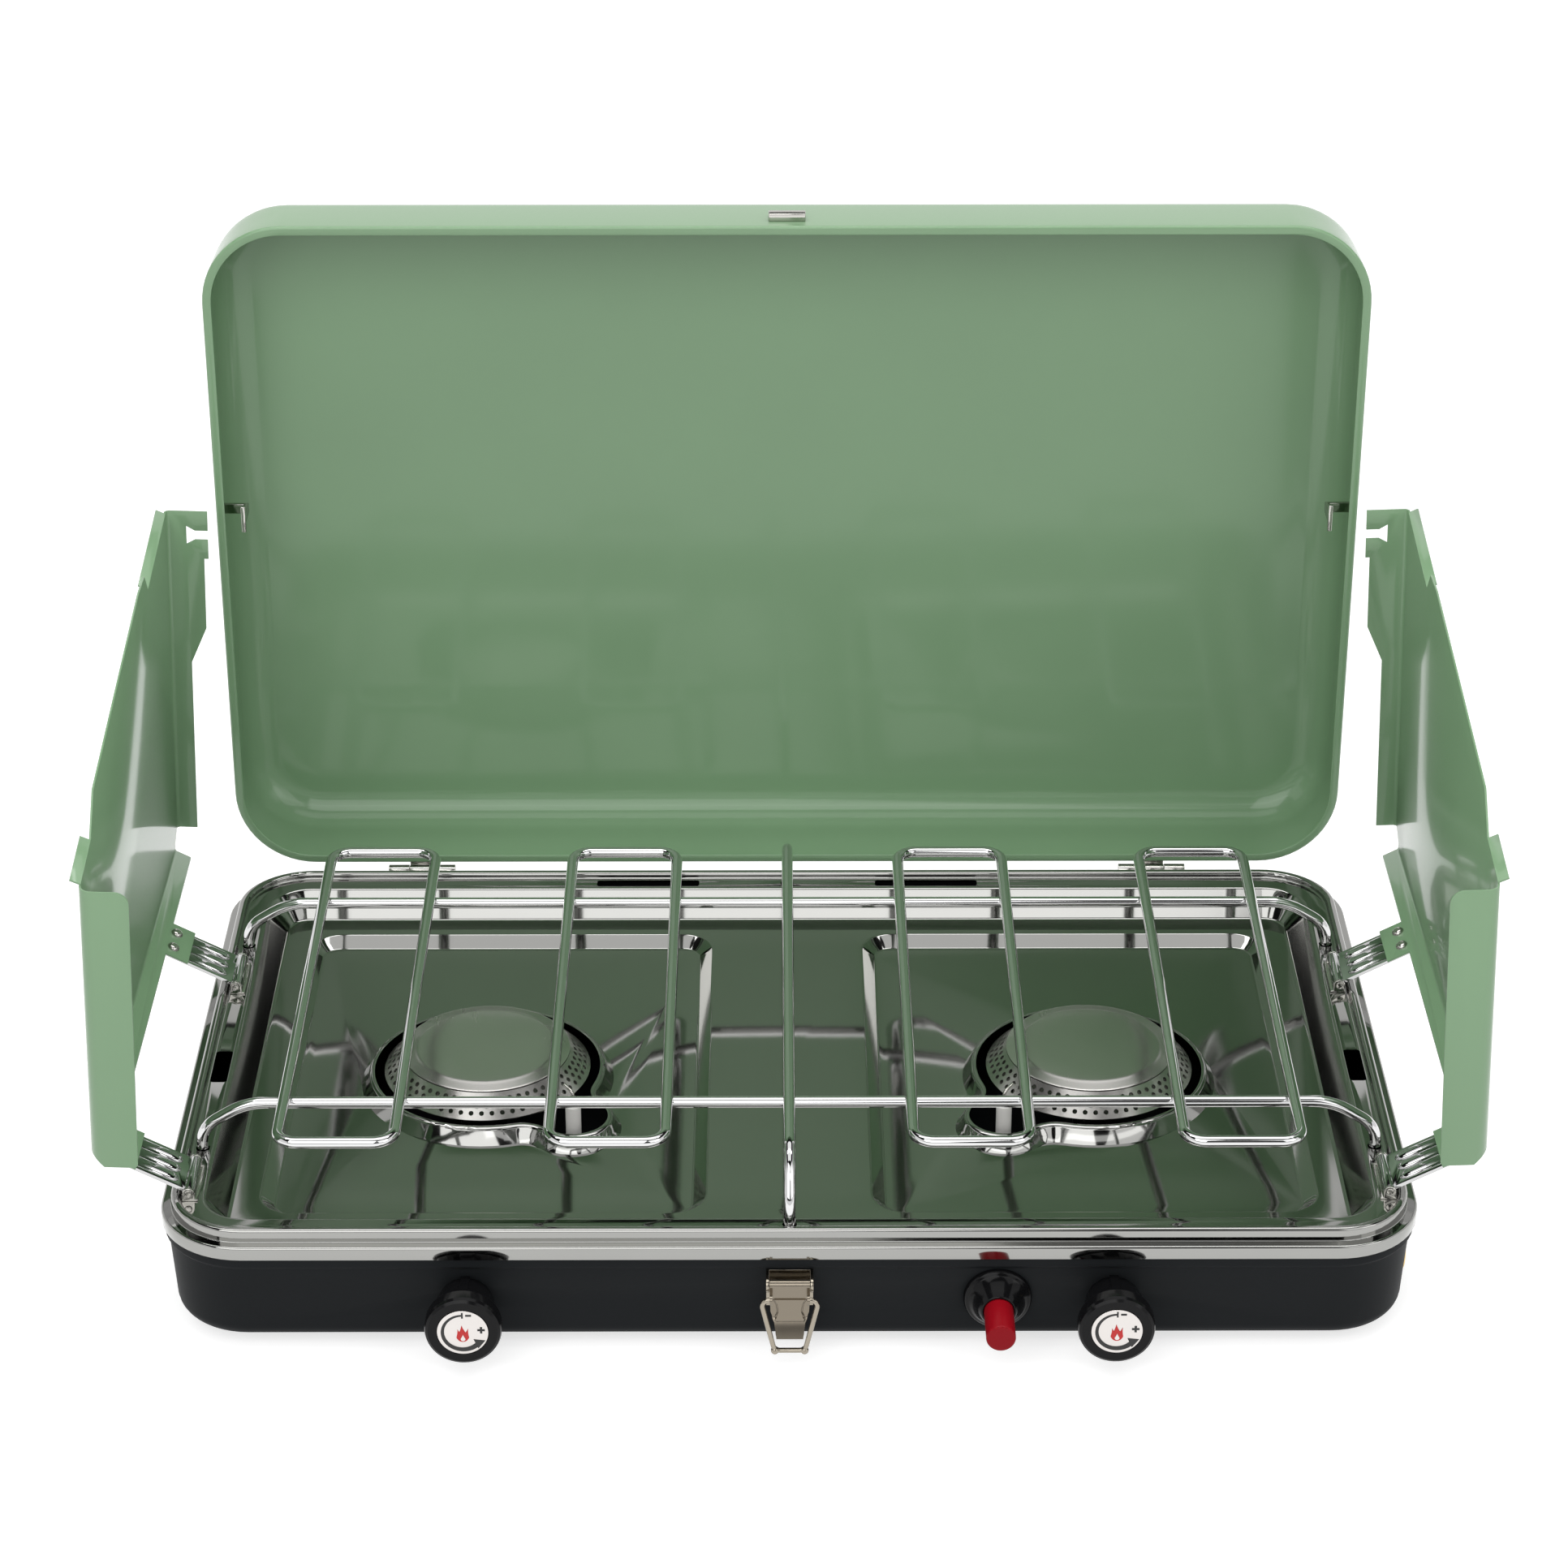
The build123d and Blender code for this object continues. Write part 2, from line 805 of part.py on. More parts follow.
def cross_wire(y):
    """Cross wire whose ends slope down into the ledge holes."""
    x_hole = half_width - ledge_middle
    z = z_ledge + grate_rise
    x_bend = x_hole - wire_slope_run
    low = z_ledge - wire_dip
    right = [(x_bend, y, z), (x_hole, y, z_ledge + 4 * wire_radius), (x_hole, y, low)]
    left = [(-px, py, pz) for px, py, pz in reversed(right)]
    radii = [wire_foot_radius, wire_bend_radius, wire_bend_radius, wire_foot_radius]
    return wire(left + right, radii, wire_radius)


def center_wire():
    """Wire along the middle, resting across the two cross wires, its ends in the front and rear ledge."""
    y_end = half_depth - ledge_middle
    z = z_ledge + grate_rise + 2 * wire_radius
    low = z_ledge - wire_dip
    y_bend = y_end - 0.6 * wire_slope_run
    back = [(0, y_bend, z), (0, y_end, z_ledge + 4 * wire_radius), (0, y_end, low)]
    front = [(px, -py, pz) for px, py, pz in reversed(back)]
    radii = [wire_foot_radius, center_bend_radius, center_bend_radius, wire_foot_radius]
    return wire(front + back, radii, wire_radius)


def pan_loop():
    """Long closed loop that carries a pan."""
    path = Wire(RectangleRounded(loop_width, 2 * loop_half_length, loop_corner).edges())
    start = Plane(origin=path @ 0, z_dir=path % 0)
    return sweep(start * Circle(wire_radius), path)


def pan_loops():
    z = z_ledge + grate_rise + 2 * wire_radius
    loop = pan_loop()
    places = (-loop_pitch_outer, -loop_pitch_inner, loop_pitch_inner, loop_pitch_outer)
    return Compound(children=[Pos(x, 0, z) * loop for x in places])


# Lid: drawn closed on the rim, then swung open about its hinge

def opened(shape):
    """Swing a piece of the closed lid to the open position."""
    axis = Axis((0, hinge_y, z_rim), (1, 0, 0))
    return shape.rotate(axis, -90)


def lid_shell():
    section = sheet_face(
        [
            (lid_lip, z_rim),
            (0, z_rim),
            (lid_draft_run, z_rim + lid_depth),
            (lid_draft_run + lid_floor_lap, z_rim + lid_depth),
        ],
        [1.4, lid_edge_radius],
        sheet,
    )
    shell = rim_ring(section, base_width, base_depth, corner_radius)
    edge = lid_draft_run + lid_floor_lap
    shell += slab(
        base_width - 2 * edge,
        base_depth - 2 * edge,
        corner_radius - edge,
        z_rim + lid_depth - sheet,
        z_rim + lid_depth,
    )
    return opened(shell)


def lid_wall_inset(rise):
    """Inset of the lid's outer wall face at a height above the rim."""
    return lid_draft_run * rise / lid_depth


def lid_lug():
    """Hooked lug on the lid's right wall that takes the windscreen's hook."""
    y = hinge_y - lug_ahead
    x = half_width - lug_inset
    half = lug_sheet / 2
    wall = half_width - lid_wall_inset(lug_rise + half) - sheet - face_gap
    top = z_rim + lug_rise + half
    low = z_rim - lug_drop
    neck = lug_neck / 2
    reach = lug_head / 2
    arm = box_between(x - half, wall, y - neck, y + neck, top - lug_sheet, top)
    stem = box_between(x - half, x + half, y - neck, y + neck, low, top)
    head = box_between(x - half, x + half, y - reach, y + reach, low, low + lug_sheet)
    return opened(arm + stem + head)


def lid_catch():
    """Catch plate on the lid's front wall for the latch bail."""
    y = -half_depth + lid_wall_inset(catch_rise)
    low, high = z_rim + catch_rise, z_rim + catch_rise + catch_height
    out = y - latch_sheet
    lip_y = out - catch_lip
    outline = Polyline(
        (y, low),
        (lip_y, low),
        (lip_y - 0.5 * latch_sheet, low + 3 * latch_sheet),
        (lip_y + latch_sheet, low + 3 * latch_sheet),
        (lip_y + latch_sheet, low + latch_sheet),
        (out, low + latch_sheet),
        (out, high),
        (y, high),
        close=True,
    )
    return opened(plate_in_yz(make_face(outline), -catch_width / 2, catch_width))


hinge_span = knuckle_inner / 2 + knuckle_gap + knuckle_outer


def base_hinge_leaf():
    """Right hinge's fixed leaf: a plate on the rear band with the two outer knuckles."""
    x0, x1 = hinge_x - hinge_span, hinge_x + hinge_span
    plate = box_between(x0, x1, half_depth, half_depth + leaf_sheet, z_band, z_shoulder - 1.5)
    lower = z_rim - knuckle_radius
    arm = box_between(x0, x1, half_depth, hinge_y, lower, lower + leaf_sheet)
    leaf = plate + arm + rod_x(knuckle_radius, x0, x1, hinge_y, z_rim)
    window = knuckle_inner / 2 + knuckle_gap
    top = z_rim + knuckle_radius
    leaf -= box_between(
        hinge_x - window, hinge_x + window, half_depth + leaf_sheet, hinge_y + knuckle_radius, lower, top
    )
    return leaf - rod_x(hinge_pin_radius, x0, x1, hinge_y, z_rim)


def lid_hinge_leaf():
    """Right hinge's moving leaf on the lid, with the middle knuckle."""
    x0, x1 = hinge_x - knuckle_inner / 2, hinge_x + knuckle_inner / 2
    low, high = z_rim + knuckle_radius, z_rim + knuckle_radius + leaf_height
    foot_y = half_depth - lid_wall_inset(knuckle_radius - leaf_sheet)
    head_y = half_depth - lid_wall_inset(knuckle_radius + leaf_height)
    outline = Polyline(
        (foot_y, low - leaf_sheet),
        (hinge_y, low - leaf_sheet),
        (hinge_y, low),
        (foot_y + leaf_sheet, low),
        (head_y + leaf_sheet, high),
        (head_y, high),
        close=True,
    )
    leaf = plate_in_yz(make_face(outline), x0, x1 - x0) + rod_x(knuckle_radius, x0, x1, hinge_y, z_rim)
    return opened(leaf - rod_x(hinge_pin_radius + pin_clearance, x0, x1, hinge_y, z_rim))


def lid_hinge_pins():
    x0, x1 = hinge_x - hinge_span, hinge_x + hinge_span
    pin = rod_x(hinge_pin_radius, x0, x1, hinge_y, z_rim)
    return Compound(children=[pin, other_side(pin)])


# Folding windscreens, drawn on the right and mirrored

def on_arm(reach, lift):
    """Point in x and z on the arm's plane: reach from the hinge axis, lift above the plane."""
    a = radians(arm_angle)
    return (
        screen_hinge_x + reach * cos(a) - lift * sin(a),
        screen_hinge_z + reach * sin(a) + lift * cos(a),
    )


def leaned(shape):
    """Lean a right windscreen shape, drawn upright, inward about the bottom crease."""
    return Pos(crease_x, 0, crease_z) * Rot(Y=-screen_lean) * Pos(-crease_x, 0, -crease_z) * shape


def ridge_z(y):
    """Level of the bend line that falls from the rear corner to the front flap, drawn upright."""
    return screen_top_z - screen_slope * (screen_rear_y - y)


def screen_panel():
    """Right windscreen: flange on the arms, leaning panel, front flap and rear flap with its hook."""
    hook_x = half_width + hook_gap + (screen_top_z - crease_z) * sin(radians(screen_lean))
    flap_x = crease_x - front_flap_width
    front_end = screen_front_y + front_bend
    rear_end = screen_rear_y - rear_bend
    plan = sheet_face(
        [
            (flap_x, screen_front_y),
            (crease_x, screen_front_y),
            (crease_x, screen_rear_y),
            (hook_x, screen_rear_y),
        ],
        [front_bend, rear_bend],
        sheet,
        Side.LEFT,
    )
    low = screen_hinge_z + front_flap_bottom
    upright = Pos(Z=low) * extrude(plan, screen_top_z - low)
    front = upright & plate_in_xz(front_flap_outline(flap_x, low), screen_front_y - 1, front_bend + 1)
    middle = upright & plate_in_yz(panel_outline(front_end, rear_end), crease_x - 2 * sheet, 3 * sheet)
    rear = upright & plate_in_xz(rear_flap_outline(hook_x), rear_end, rear_bend + 1)
    panel = front + middle + rear + foot_flange(front_end)
    for y0, y1 in ((front_end, crest_front_y - crest_run), (crest_rear_y + crest_run, rear_end)):
        panel += ridge_lip(y0, y1)
    panel = leaned(panel)
    flange_x = crease_x - flange_width
    tab_half = arm_width / 2 + tab_side
    stops = [
        (screen_front_y + 1, arm_front_y - tab_half),
        (arm_front_y + tab_half, arm_rear_y - tab_half),
        (arm_rear_y + tab_half, screen_rear_y + 1),
    ]
    for y0, y1 in stops:
        panel -= box_between(screen_hinge_x, flange_x, y0, y1, screen_hinge_z, crease_z)
    return panel


def foot_flange(front_end):
    """Flange that lies on the arms, with the bend up into the panel, drawn for the upright panel."""
    a = radians(screen_lean)
    tab = on_arm(flange_tab, arm_thick / 2)
    dx, dz = tab[0] - crease_x, tab[1] - crease_z
    foot = (crease_x + dx * cos(a) + dz * sin(a), crease_z - dx * sin(a) + dz * cos(a))
    section = sheet_face(
        [foot, (crease_x, crease_z), (crease_x, crease_z + 3 * flange_bend)], [flange_bend], sheet, Side.LEFT
    )
    return plate_in_xz(section, front_end, screen_rear_y - rear_notch - front_end)


def front_flap_outline(flap_x, low):
    """Front flap with its clipped foot and rounded top corner, in x and z."""
    top = ridge_z(screen_front_y)
    line = FilletPolyline(
        (crease_x + 1, low + 1.2 * flap_clip),
        (crease_x + 1, top),
        (flap_x, top),
        (flap_x + sheet, low),
        (crease_x - flap_clip, low),
        radius=[0.4, 6.0, 2.0],
    )
    closing = Line(line @ 1, line @ 0)
    return make_face(line.edges() + closing.edges())


def panel_outline(front_end, rear_end):
    """Panel between its end bends, with the raised crest in the middle of its top edge, in y and z."""
    low = crease_z + 1.5 * flange_bend
    line = Polyline(
        (front_end, low),
        (front_end, ridge_z(front_end)),
        (crest_front_y - crest_run, ridge_z(crest_front_y - crest_run)),
        (crest_front_y, ridge_z(crest_front_y) + crest_rise),
        (crest_rear_y, ridge_z(crest_rear_y) + crest_rise),
        (crest_rear_y + crest_run, ridge_z(crest_rear_y + crest_run)),
        (rear_end, ridge_z(rear_end)),
        (rear_end, low + rear_notch / 2),
        (screen_rear_y - rear_notch, low),
        close=True,
    )
    return make_face(line)


def ridge_lip(y0, y1):
    """Narrow lip bent outward along the ridge line."""
    middle = (y0 + y1) / 2
    place = Pos(crease_x - sheet / 2, middle, ridge_z(middle) - sheet / 2)
    place = place * Rot(X=degrees(atan2(screen_slope, 1))) * Rot(Y=-lip_angle)
    return place * Pos(X=lip_width / 2) * Box(lip_width, y1 - y0, sheet)


def rear_flap_outline(hook_x):
    """Rear flap with the open-ended hook slot, in x and z; it stops short of the lid's side."""
    strip_x = crease_x - rear_strip_width
    flap_x = hook_x + rear_flap_inset
    foot = crease_z + 1.5 * flange_bend + rear_notch / 2
    hook_low = screen_top_z - hook_height
    outline = Polyline(
        (crease_x + 1, foot),
        (crease_x + 1, screen_top_z),
        (hook_x, screen_top_z),
        (hook_x, hook_low),
        (flap_x, hook_low),
        (flap_x, screen_hinge_z + rear_flap_high),
        (strip_x, screen_hinge_z + rear_flap_low),
        (strip_x, foot),
        close=True,
    )
    middle = screen_top_z - hook_height / 2
    end_x = hook_x + hook_slot_end
    half = hook_slot / 2
    slot = Polyline(
        (hook_x - 1, middle - half),
        (end_x - hook_slot_flare, middle - half),
        (end_x, middle - 2 * half),
        (end_x, middle + 2 * half),
        (end_x - hook_slot_flare, middle + half),
        (hook_x - 1, middle + half),
        close=True,
    )
    return make_face(outline) - make_face(slot)


def screen_arm(y):
    """Right windscreen arm: grooved strip with a rolled barrel at the hinge."""
    tip = flange_tab + 0.8 * flange_width + 8
    strip = Pos(tip / 2, 0, 0) * Box(tip, arm_width, arm_thick)
    for k in (-1, 0, 1):
        groove = Pos(tip / 2 + screen_barrel_radius, k * arm_width / 3.4, arm_thick / 2)
        strip -= groove * Box(tip - 4 * screen_barrel_radius, arm_groove_width, 2 * arm_groove)
    barrel = rod_y(screen_barrel_radius, -arm_width / 2, arm_width / 2, 0, 0)
    arm = strip + barrel
    arm -= rod_y(screen_pin_radius + pin_clearance, -arm_width / 2, arm_width / 2, 0, 0)
    for k in (-0.5, 0.5):
        arm -= rod_z(rivet_radius, -arm_thick, arm_thick, rivet_reach, k * rivet_spacing)
    return Pos(screen_hinge_x, y, screen_hinge_z) * Rot(Y=-arm_angle) * arm


def screen_rivets():
    """Two rivets through the flange at each arm of the right windscreen."""
    low = -arm_thick / 2 - 1
    top = arm_thick / 2 + sheet
    head = turned_z(
        [
            (0, top),
            (rivet_head, top),
            (0.8 * rivet_head, top + 1.2),
            (0.4 * rivet_head, top + 1.8),
            (0, top + 1.9),
        ],
        0,
        0,
    )
    rivet = head + rod_z(rivet_radius, low, top, 0, 0) + rod_z(0.8 * rivet_head, low, low + 1, 0, 0)
    group = []
    for y in (arm_front_y, arm_rear_y):
        for k in (-0.5, 0.5):
            place = Pos(screen_hinge_x, y, screen_hinge_z) * Rot(Y=-arm_angle)
            group.append(place * Pos(rivet_reach, k * rivet_spacing, 0) * rivet)
    return Compound(children=group)


def drilled_panel():
    """The right panel with its rivet holes."""
    panel = screen_panel()
    for y in (arm_front_y, arm_rear_y):
        for k in (-0.5, 0.5):
            place = Pos(screen_hinge_x, y, screen_hinge_z) * Rot(Y=-arm_angle)
            panel -= place * rod_z(rivet_radius, 0, 3, rivet_reach, k * rivet_spacing)
    return panel


def screen_brackets():
    """Hinge brackets on the right ledge: a foot plate with two ears for each arm."""
    x0 = half_width - ledge_inner + 2
    x1 = half_width - bead_inner - 1.2
    ear_in = arm_width / 2 + part_gap
    ear_out = ear_in + ear_sheet
    group = []
    for y in (arm_front_y, arm_rear_y):
        bracket = box_between(x0, x1, y - ear_out, y + ear_out, z_ledge, z_ledge + sheet)
        for y0, y1 in ((y - ear_out, y - ear_in), (y + ear_in, y + ear_out)):
            ear = rod_y(screen_barrel_radius, y0, y1, screen_hinge_x, screen_hinge_z)
            ear += box_between(
                screen_hinge_x - screen_barrel_radius,
                screen_hinge_x + screen_barrel_radius,
                y0,
                y1,
                z_ledge,
                screen_hinge_z,
            )
            bracket += ear
        bracket -= rod_y(screen_pin_radius, y - ear_out, y + ear_out, screen_hinge_x, screen_hinge_z)
        group.append(bracket)
    return Compound(children=group)


def screen_pins():
    """Hinge pins of the right windscreen."""
    reach = arm_width / 2 + part_gap + ear_sheet
    pins = [
        rod_y(screen_pin_radius, y - reach, y + reach, screen_hinge_x, screen_hinge_z)
        for y in (arm_front_y, arm_rear_y)
    ]
    return Compound(children=pins)


# Draw latch

latch_wall_y = -half_depth + housing_inset(latch_plate_low + 0.5 * (latch_plate_high - latch_plate_low))
latch_pivot_y = latch_wall_y - latch_pivot_out
bail_pivot_y = latch_pivot_y - bail_pivot_out
bail_pivot_z = latch_pivot_z - bail_pivot_drop


def latch_base():
    """Latch plate on the front wall with two ears for the lever's pin."""
    half = latch_width / 2
    deep = latch_wall_y + latch_sheet
    base = box_between(-half, half, latch_wall_y - latch_sheet, deep, latch_plate_low, latch_plate_high)
    for x0 in (-half, half - latch_sheet):
        ear = rod_x(latch_ear_radius, x0, x0 + latch_sheet, latch_pivot_y, latch_pivot_z)
        ear += box_between(
            x0,
            x0 + latch_sheet,
            latch_pivot_y,
            latch_wall_y,
            latch_pivot_z - latch_ear_radius,
            latch_pivot_z + latch_ear_radius,
        )
        base += ear
    base -= behind_front_wall()
    return base - rod_x(latch_pin_radius, -half, half, latch_pivot_y, latch_pivot_z)


def latch_pin():
    half = latch_width / 2
    return rod_x(latch_pin_radius, -half, half, latch_pivot_y, latch_pivot_z)


def latch_lever():
    """Hanging lever: barrel, waisted plate with a curled foot, and two ears for the bail."""
    inner = latch_width / 2 - latch_sheet - part_gap
    y, z = latch_pivot_y, latch_pivot_z
    low = z - lever_length
    plate_y = y - latch_barrel_radius + latch_sheet
    outline = Polyline(
        (-inner, z),
        (inner, z),
        (inner, z - 0.42 * lever_length),
        (lever_waist / 2, z - 0.62 * lever_length),
        (inner, low),
        (-inner, low),
        (-lever_waist / 2, z - 0.62 * lever_length),
        (-inner, z - 0.42 * lever_length),
        close=True,
    )
    lever = plate_in_xz(make_face(outline), plate_y - latch_sheet, latch_sheet)
    lever += rod_x(latch_barrel_radius, -inner, inner, y, z)
    ear_in = inner - latch_sheet
    for x0 in (-inner, ear_in):
        x1 = x0 + latch_sheet
        half = 2 * bail_wire
        ear = rod_x(half, x0, x1, bail_pivot_y, bail_pivot_z)
        ear += box_between(x0, x1, bail_pivot_y, plate_y, bail_pivot_z - half, bail_pivot_z + half)
        lever += ear
    lever -= rod_x(latch_pin_radius + pin_clearance, -inner, inner, y, z)
    return lever - rod_x(bail_wire + pin_clearance, -inner, inner, bail_pivot_y, bail_pivot_z)


def latch_bail():
    """Wire bail that hangs from the lever and hooks over the lid's catch."""
    inner = latch_width / 2 - latch_sheet - part_gap
    y, z = bail_pivot_y, bail_pivot_z
    low = z - bail_length
    stub = inner - latch_sheet
    right = [(stub, y, z), (bail_top_half, y, z), (bail_bottom_half, y, low)]
    left = [(-px, py, pz) for px, py, pz in reversed(right)]
    return wire(right + left, [bail_corner, bail_corner, bail_corner, bail_corner], bail_wire)


# The whole stove

def build_nodes():
    nodes["cooktop_tray"] = cooktop_tray()
    nodes["base_housing"] = base_housing()
    nodes["rubber_feet"] = at_each_foot(foot())
    nodes["foot_screws"] = at_each_foot(foot_screw())
    both_sides("burner_head", burner_head())
    both_sides("burner_cap", burner_cap())
    both_sides("venturi", venturi())
    both_sides("valve", valve())
    both_sides("knob", knob())
    both_sides("knob_dial", dial())
    both_sides("valve_stem", valve_stem())
    nodes["gas_inlet"] = gas_inlet()
    nodes["inlet_pipe"] = rod_x(pipe_radius, burner_x + valve_radius, inlet_inner_x, pipe_y, z_control)
    bridge_end = burner_x - valve_radius
    nodes["bridge_pipe"] = rod_x(pipe_radius, -bridge_end, bridge_end, pipe_y, z_control)
    nodes["igniter_bezel"] = igniter_bezel()
    nodes["igniter_body"] = igniter_body()
    nodes["igniter_button"] = igniter_button()
    both_sides("electrode", electrode())
    both_sides("electrode_pin", electrode_pin())
    ignition_leads()
    nodes["grate_front_wire"] = cross_wire(-cross_wire_y)
    nodes["grate_rear_wire"] = cross_wire(cross_wire_y)
    nodes["grate_center_wire"] = center_wire()
    nodes["grate_pan_loops"] = pan_loops()
    nodes["lid_shell"] = lid_shell()
    lug = lid_lug()
    nodes["lid_lugs"] = Compound(children=[lug, other_side(lug)])
    nodes["lid_catch"] = lid_catch()
    both_sides("base_hinge_leaf", base_hinge_leaf())
    both_sides("lid_hinge_leaf", lid_hinge_leaf())
    nodes["lid_hinge_pins"] = lid_hinge_pins()
    both_sides("windscreen", drilled_panel())
    both_sides("front_arm", screen_arm(arm_front_y))
    both_sides("rear_arm", screen_arm(arm_rear_y))
    both_sides("screen_rivets", screen_rivets())
    both_sides("screen_brackets", screen_brackets())
    both_sides("screen_pins", screen_pins())
    nodes["latch_base"] = latch_base()
    nodes["latch_pin"] = latch_pin()
    nodes["latch_lever"] = latch_lever()
    nodes["latch_bail"] = latch_bail()


build_nodes()
os.makedirs("parts", exist_ok=True)
for name, shape in nodes.items():
    export_step(Pos(Y=frame_shift) * shape, f"parts/{name}.step")
print(f"{len(nodes)} nodes")
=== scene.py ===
"""Looks of the folding two-burner camping stove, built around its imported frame."""

from __future__ import annotations

import json
import logging
import math
from dataclasses import dataclass, field
from enum import Enum

import bmesh
import bpy
from mathutils import Matrix, Vector

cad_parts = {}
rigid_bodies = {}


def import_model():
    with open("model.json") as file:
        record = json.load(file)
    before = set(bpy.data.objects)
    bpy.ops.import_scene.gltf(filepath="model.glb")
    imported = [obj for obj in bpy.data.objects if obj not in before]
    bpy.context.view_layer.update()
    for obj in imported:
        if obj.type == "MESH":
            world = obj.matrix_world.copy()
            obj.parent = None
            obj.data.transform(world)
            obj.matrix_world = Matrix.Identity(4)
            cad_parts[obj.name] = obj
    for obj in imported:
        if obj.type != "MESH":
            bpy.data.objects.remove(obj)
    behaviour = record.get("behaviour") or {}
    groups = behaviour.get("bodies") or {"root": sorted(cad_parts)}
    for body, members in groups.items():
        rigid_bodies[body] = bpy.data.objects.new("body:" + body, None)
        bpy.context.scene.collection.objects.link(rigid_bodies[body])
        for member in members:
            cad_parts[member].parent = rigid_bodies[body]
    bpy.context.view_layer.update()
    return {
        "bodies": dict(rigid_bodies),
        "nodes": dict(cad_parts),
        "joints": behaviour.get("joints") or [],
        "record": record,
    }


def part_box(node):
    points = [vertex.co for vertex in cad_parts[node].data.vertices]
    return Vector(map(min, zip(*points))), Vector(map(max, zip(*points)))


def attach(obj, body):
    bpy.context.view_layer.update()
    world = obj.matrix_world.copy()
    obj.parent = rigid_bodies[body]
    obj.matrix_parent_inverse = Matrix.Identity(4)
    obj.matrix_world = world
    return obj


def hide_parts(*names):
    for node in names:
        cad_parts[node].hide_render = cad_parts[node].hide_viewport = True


log = logging.getLogger("camping_stove")

MM = 0.001
WELD = 0.000002
FLAT_DEGREES = 0.2
LEAST_ROUGHNESS = 0.02
NOISE_ROUGHNESS = 0.45
FINE_DETAIL = 4.0
WAVE_DETAIL = 2.0
PATCH_DETAIL = 3.0
GRAIN_SHARE = 0.5

Color = tuple[float, float, float]
Point = tuple[float, float, float]
Profile = tuple[tuple[float, float], ...]


class Grain(Enum):
    """Kinds of surface detail that a finish can carry."""

    PEEL = "orange peel of sprayed paint"
    SPECK = "fine speckle of powder coat or moulded plastic"
    BRUSHED = "long brush lines"
    POLISHED = "slow waves of polished sheet"


@dataclass(frozen=True)
class Finish:
    """One finish: colour, gloss and the grain that breaks them up.

    Lengths are in metres, and grain_scale counts pattern cells per metre.
    """

    name: str
    color: Color
    roughness: float
    grain: Grain
    grain_scale: float
    bump: float
    metallic: float = 0.0
    coat: float = 0.0
    coat_roughness: float = 0.05
    specular: float = 0.5
    shade: float = 0.06
    spread: float = 0.05
    patch_scale: float = 18.0
    stretch: Point = (1.0, 1.0, 1.0)

    def _pattern(self, tree: bpy.types.NodeTree, coords: bpy.types.NodeSocket) -> bpy.types.NodeSocket:
        """Add the grain pattern.

        Args:
            tree: node tree of the material.
            coords: object coordinates.

        Returns:
            Height of the grain, from 0 to 1.
        """
        mapping = tree.nodes.new("ShaderNodeMapping")
        mapping.vector_type = "TEXTURE"
        mapping.inputs["Scale"].default_value = self.stretch
        tree.links.new(coords, mapping.inputs["Vector"])
        noise = tree.nodes.new("ShaderNodeTexNoise")
        noise.inputs["Scale"].default_value = self.grain_scale
        noise.inputs["Detail"].default_value = WAVE_DETAIL if self.grain is Grain.POLISHED else FINE_DETAIL
        noise.inputs["Roughness"].default_value = NOISE_ROUGHNESS
        tree.links.new(mapping.outputs["Vector"], noise.inputs["Vector"])
        return noise.outputs["Fac"]

    def material(self) -> bpy.types.Material:
        """Make the material, or return the one already made for this finish.

        Returns:
            The node-based material.
        """
        label = f"{self.name}_finish"
        known = bpy.data.materials.get(label)
        if known is not None:
            return known
        mat = bpy.data.materials.new(label)
        mat.use_nodes = True
        tree = mat.node_tree
        shader = tree.nodes["Principled BSDF"]
        coords = tree.nodes.new("ShaderNodeTexCoord").outputs["Object"]
        patches = tree.nodes.new("ShaderNodeTexNoise")
        patches.inputs["Scale"].default_value = self.patch_scale
        patches.inputs["Detail"].default_value = PATCH_DETAIL
        tree.links.new(coords, patches.inputs["Vector"])
        tint = tree.nodes.new("ShaderNodeMix")
        tint.data_type = "RGBA"
        tint.inputs["A"].default_value = (*[c * (1 - self.shade) for c in self.color], 1.0)
        tint.inputs["B"].default_value = (*[min(1.0, c * (1 + self.shade)) for c in self.color], 1.0)
        tree.links.new(patches.outputs["Fac"], tint.inputs["Factor"])
        tree.links.new(tint.outputs["Result"], shader.inputs["Base Color"])
        gloss = tree.nodes.new("ShaderNodeMapRange")
        gloss.inputs["To Min"].default_value = max(LEAST_ROUGHNESS, self.roughness - self.spread)
        gloss.inputs["To Max"].default_value = self.roughness + self.spread
        height = self._pattern(tree, coords)
        mixed = tree.nodes.new("ShaderNodeMath")
        mixed.operation = "MULTIPLY_ADD"
        mixed.inputs[1].default_value = GRAIN_SHARE
        tree.links.new(height, mixed.inputs[0])
        rest = tree.nodes.new("ShaderNodeMath")
        rest.operation = "MULTIPLY"
        rest.inputs[1].default_value = 1.0 - GRAIN_SHARE
        tree.links.new(patches.outputs["Fac"], rest.inputs[0])
        tree.links.new(rest.outputs["Value"], mixed.inputs[2])
        tree.links.new(mixed.outputs["Value"], gloss.inputs["Value"])
        tree.links.new(gloss.outputs["Result"], shader.inputs["Roughness"])
        bump = tree.nodes.new("ShaderNodeBump")
        bump.inputs["Strength"].default_value = 1.0
        bump.inputs["Distance"].default_value = self.bump
        tree.links.new(height, bump.inputs["Height"])
        tree.links.new(bump.outputs["Normal"], shader.inputs["Normal"])
        shader.inputs["Metallic"].default_value = self.metallic
        shader.inputs["Specular IOR Level"].default_value = self.specular
        shader.inputs["Coat Weight"].default_value = self.coat
        shader.inputs["Coat Roughness"].default_value = self.coat_roughness
        return mat


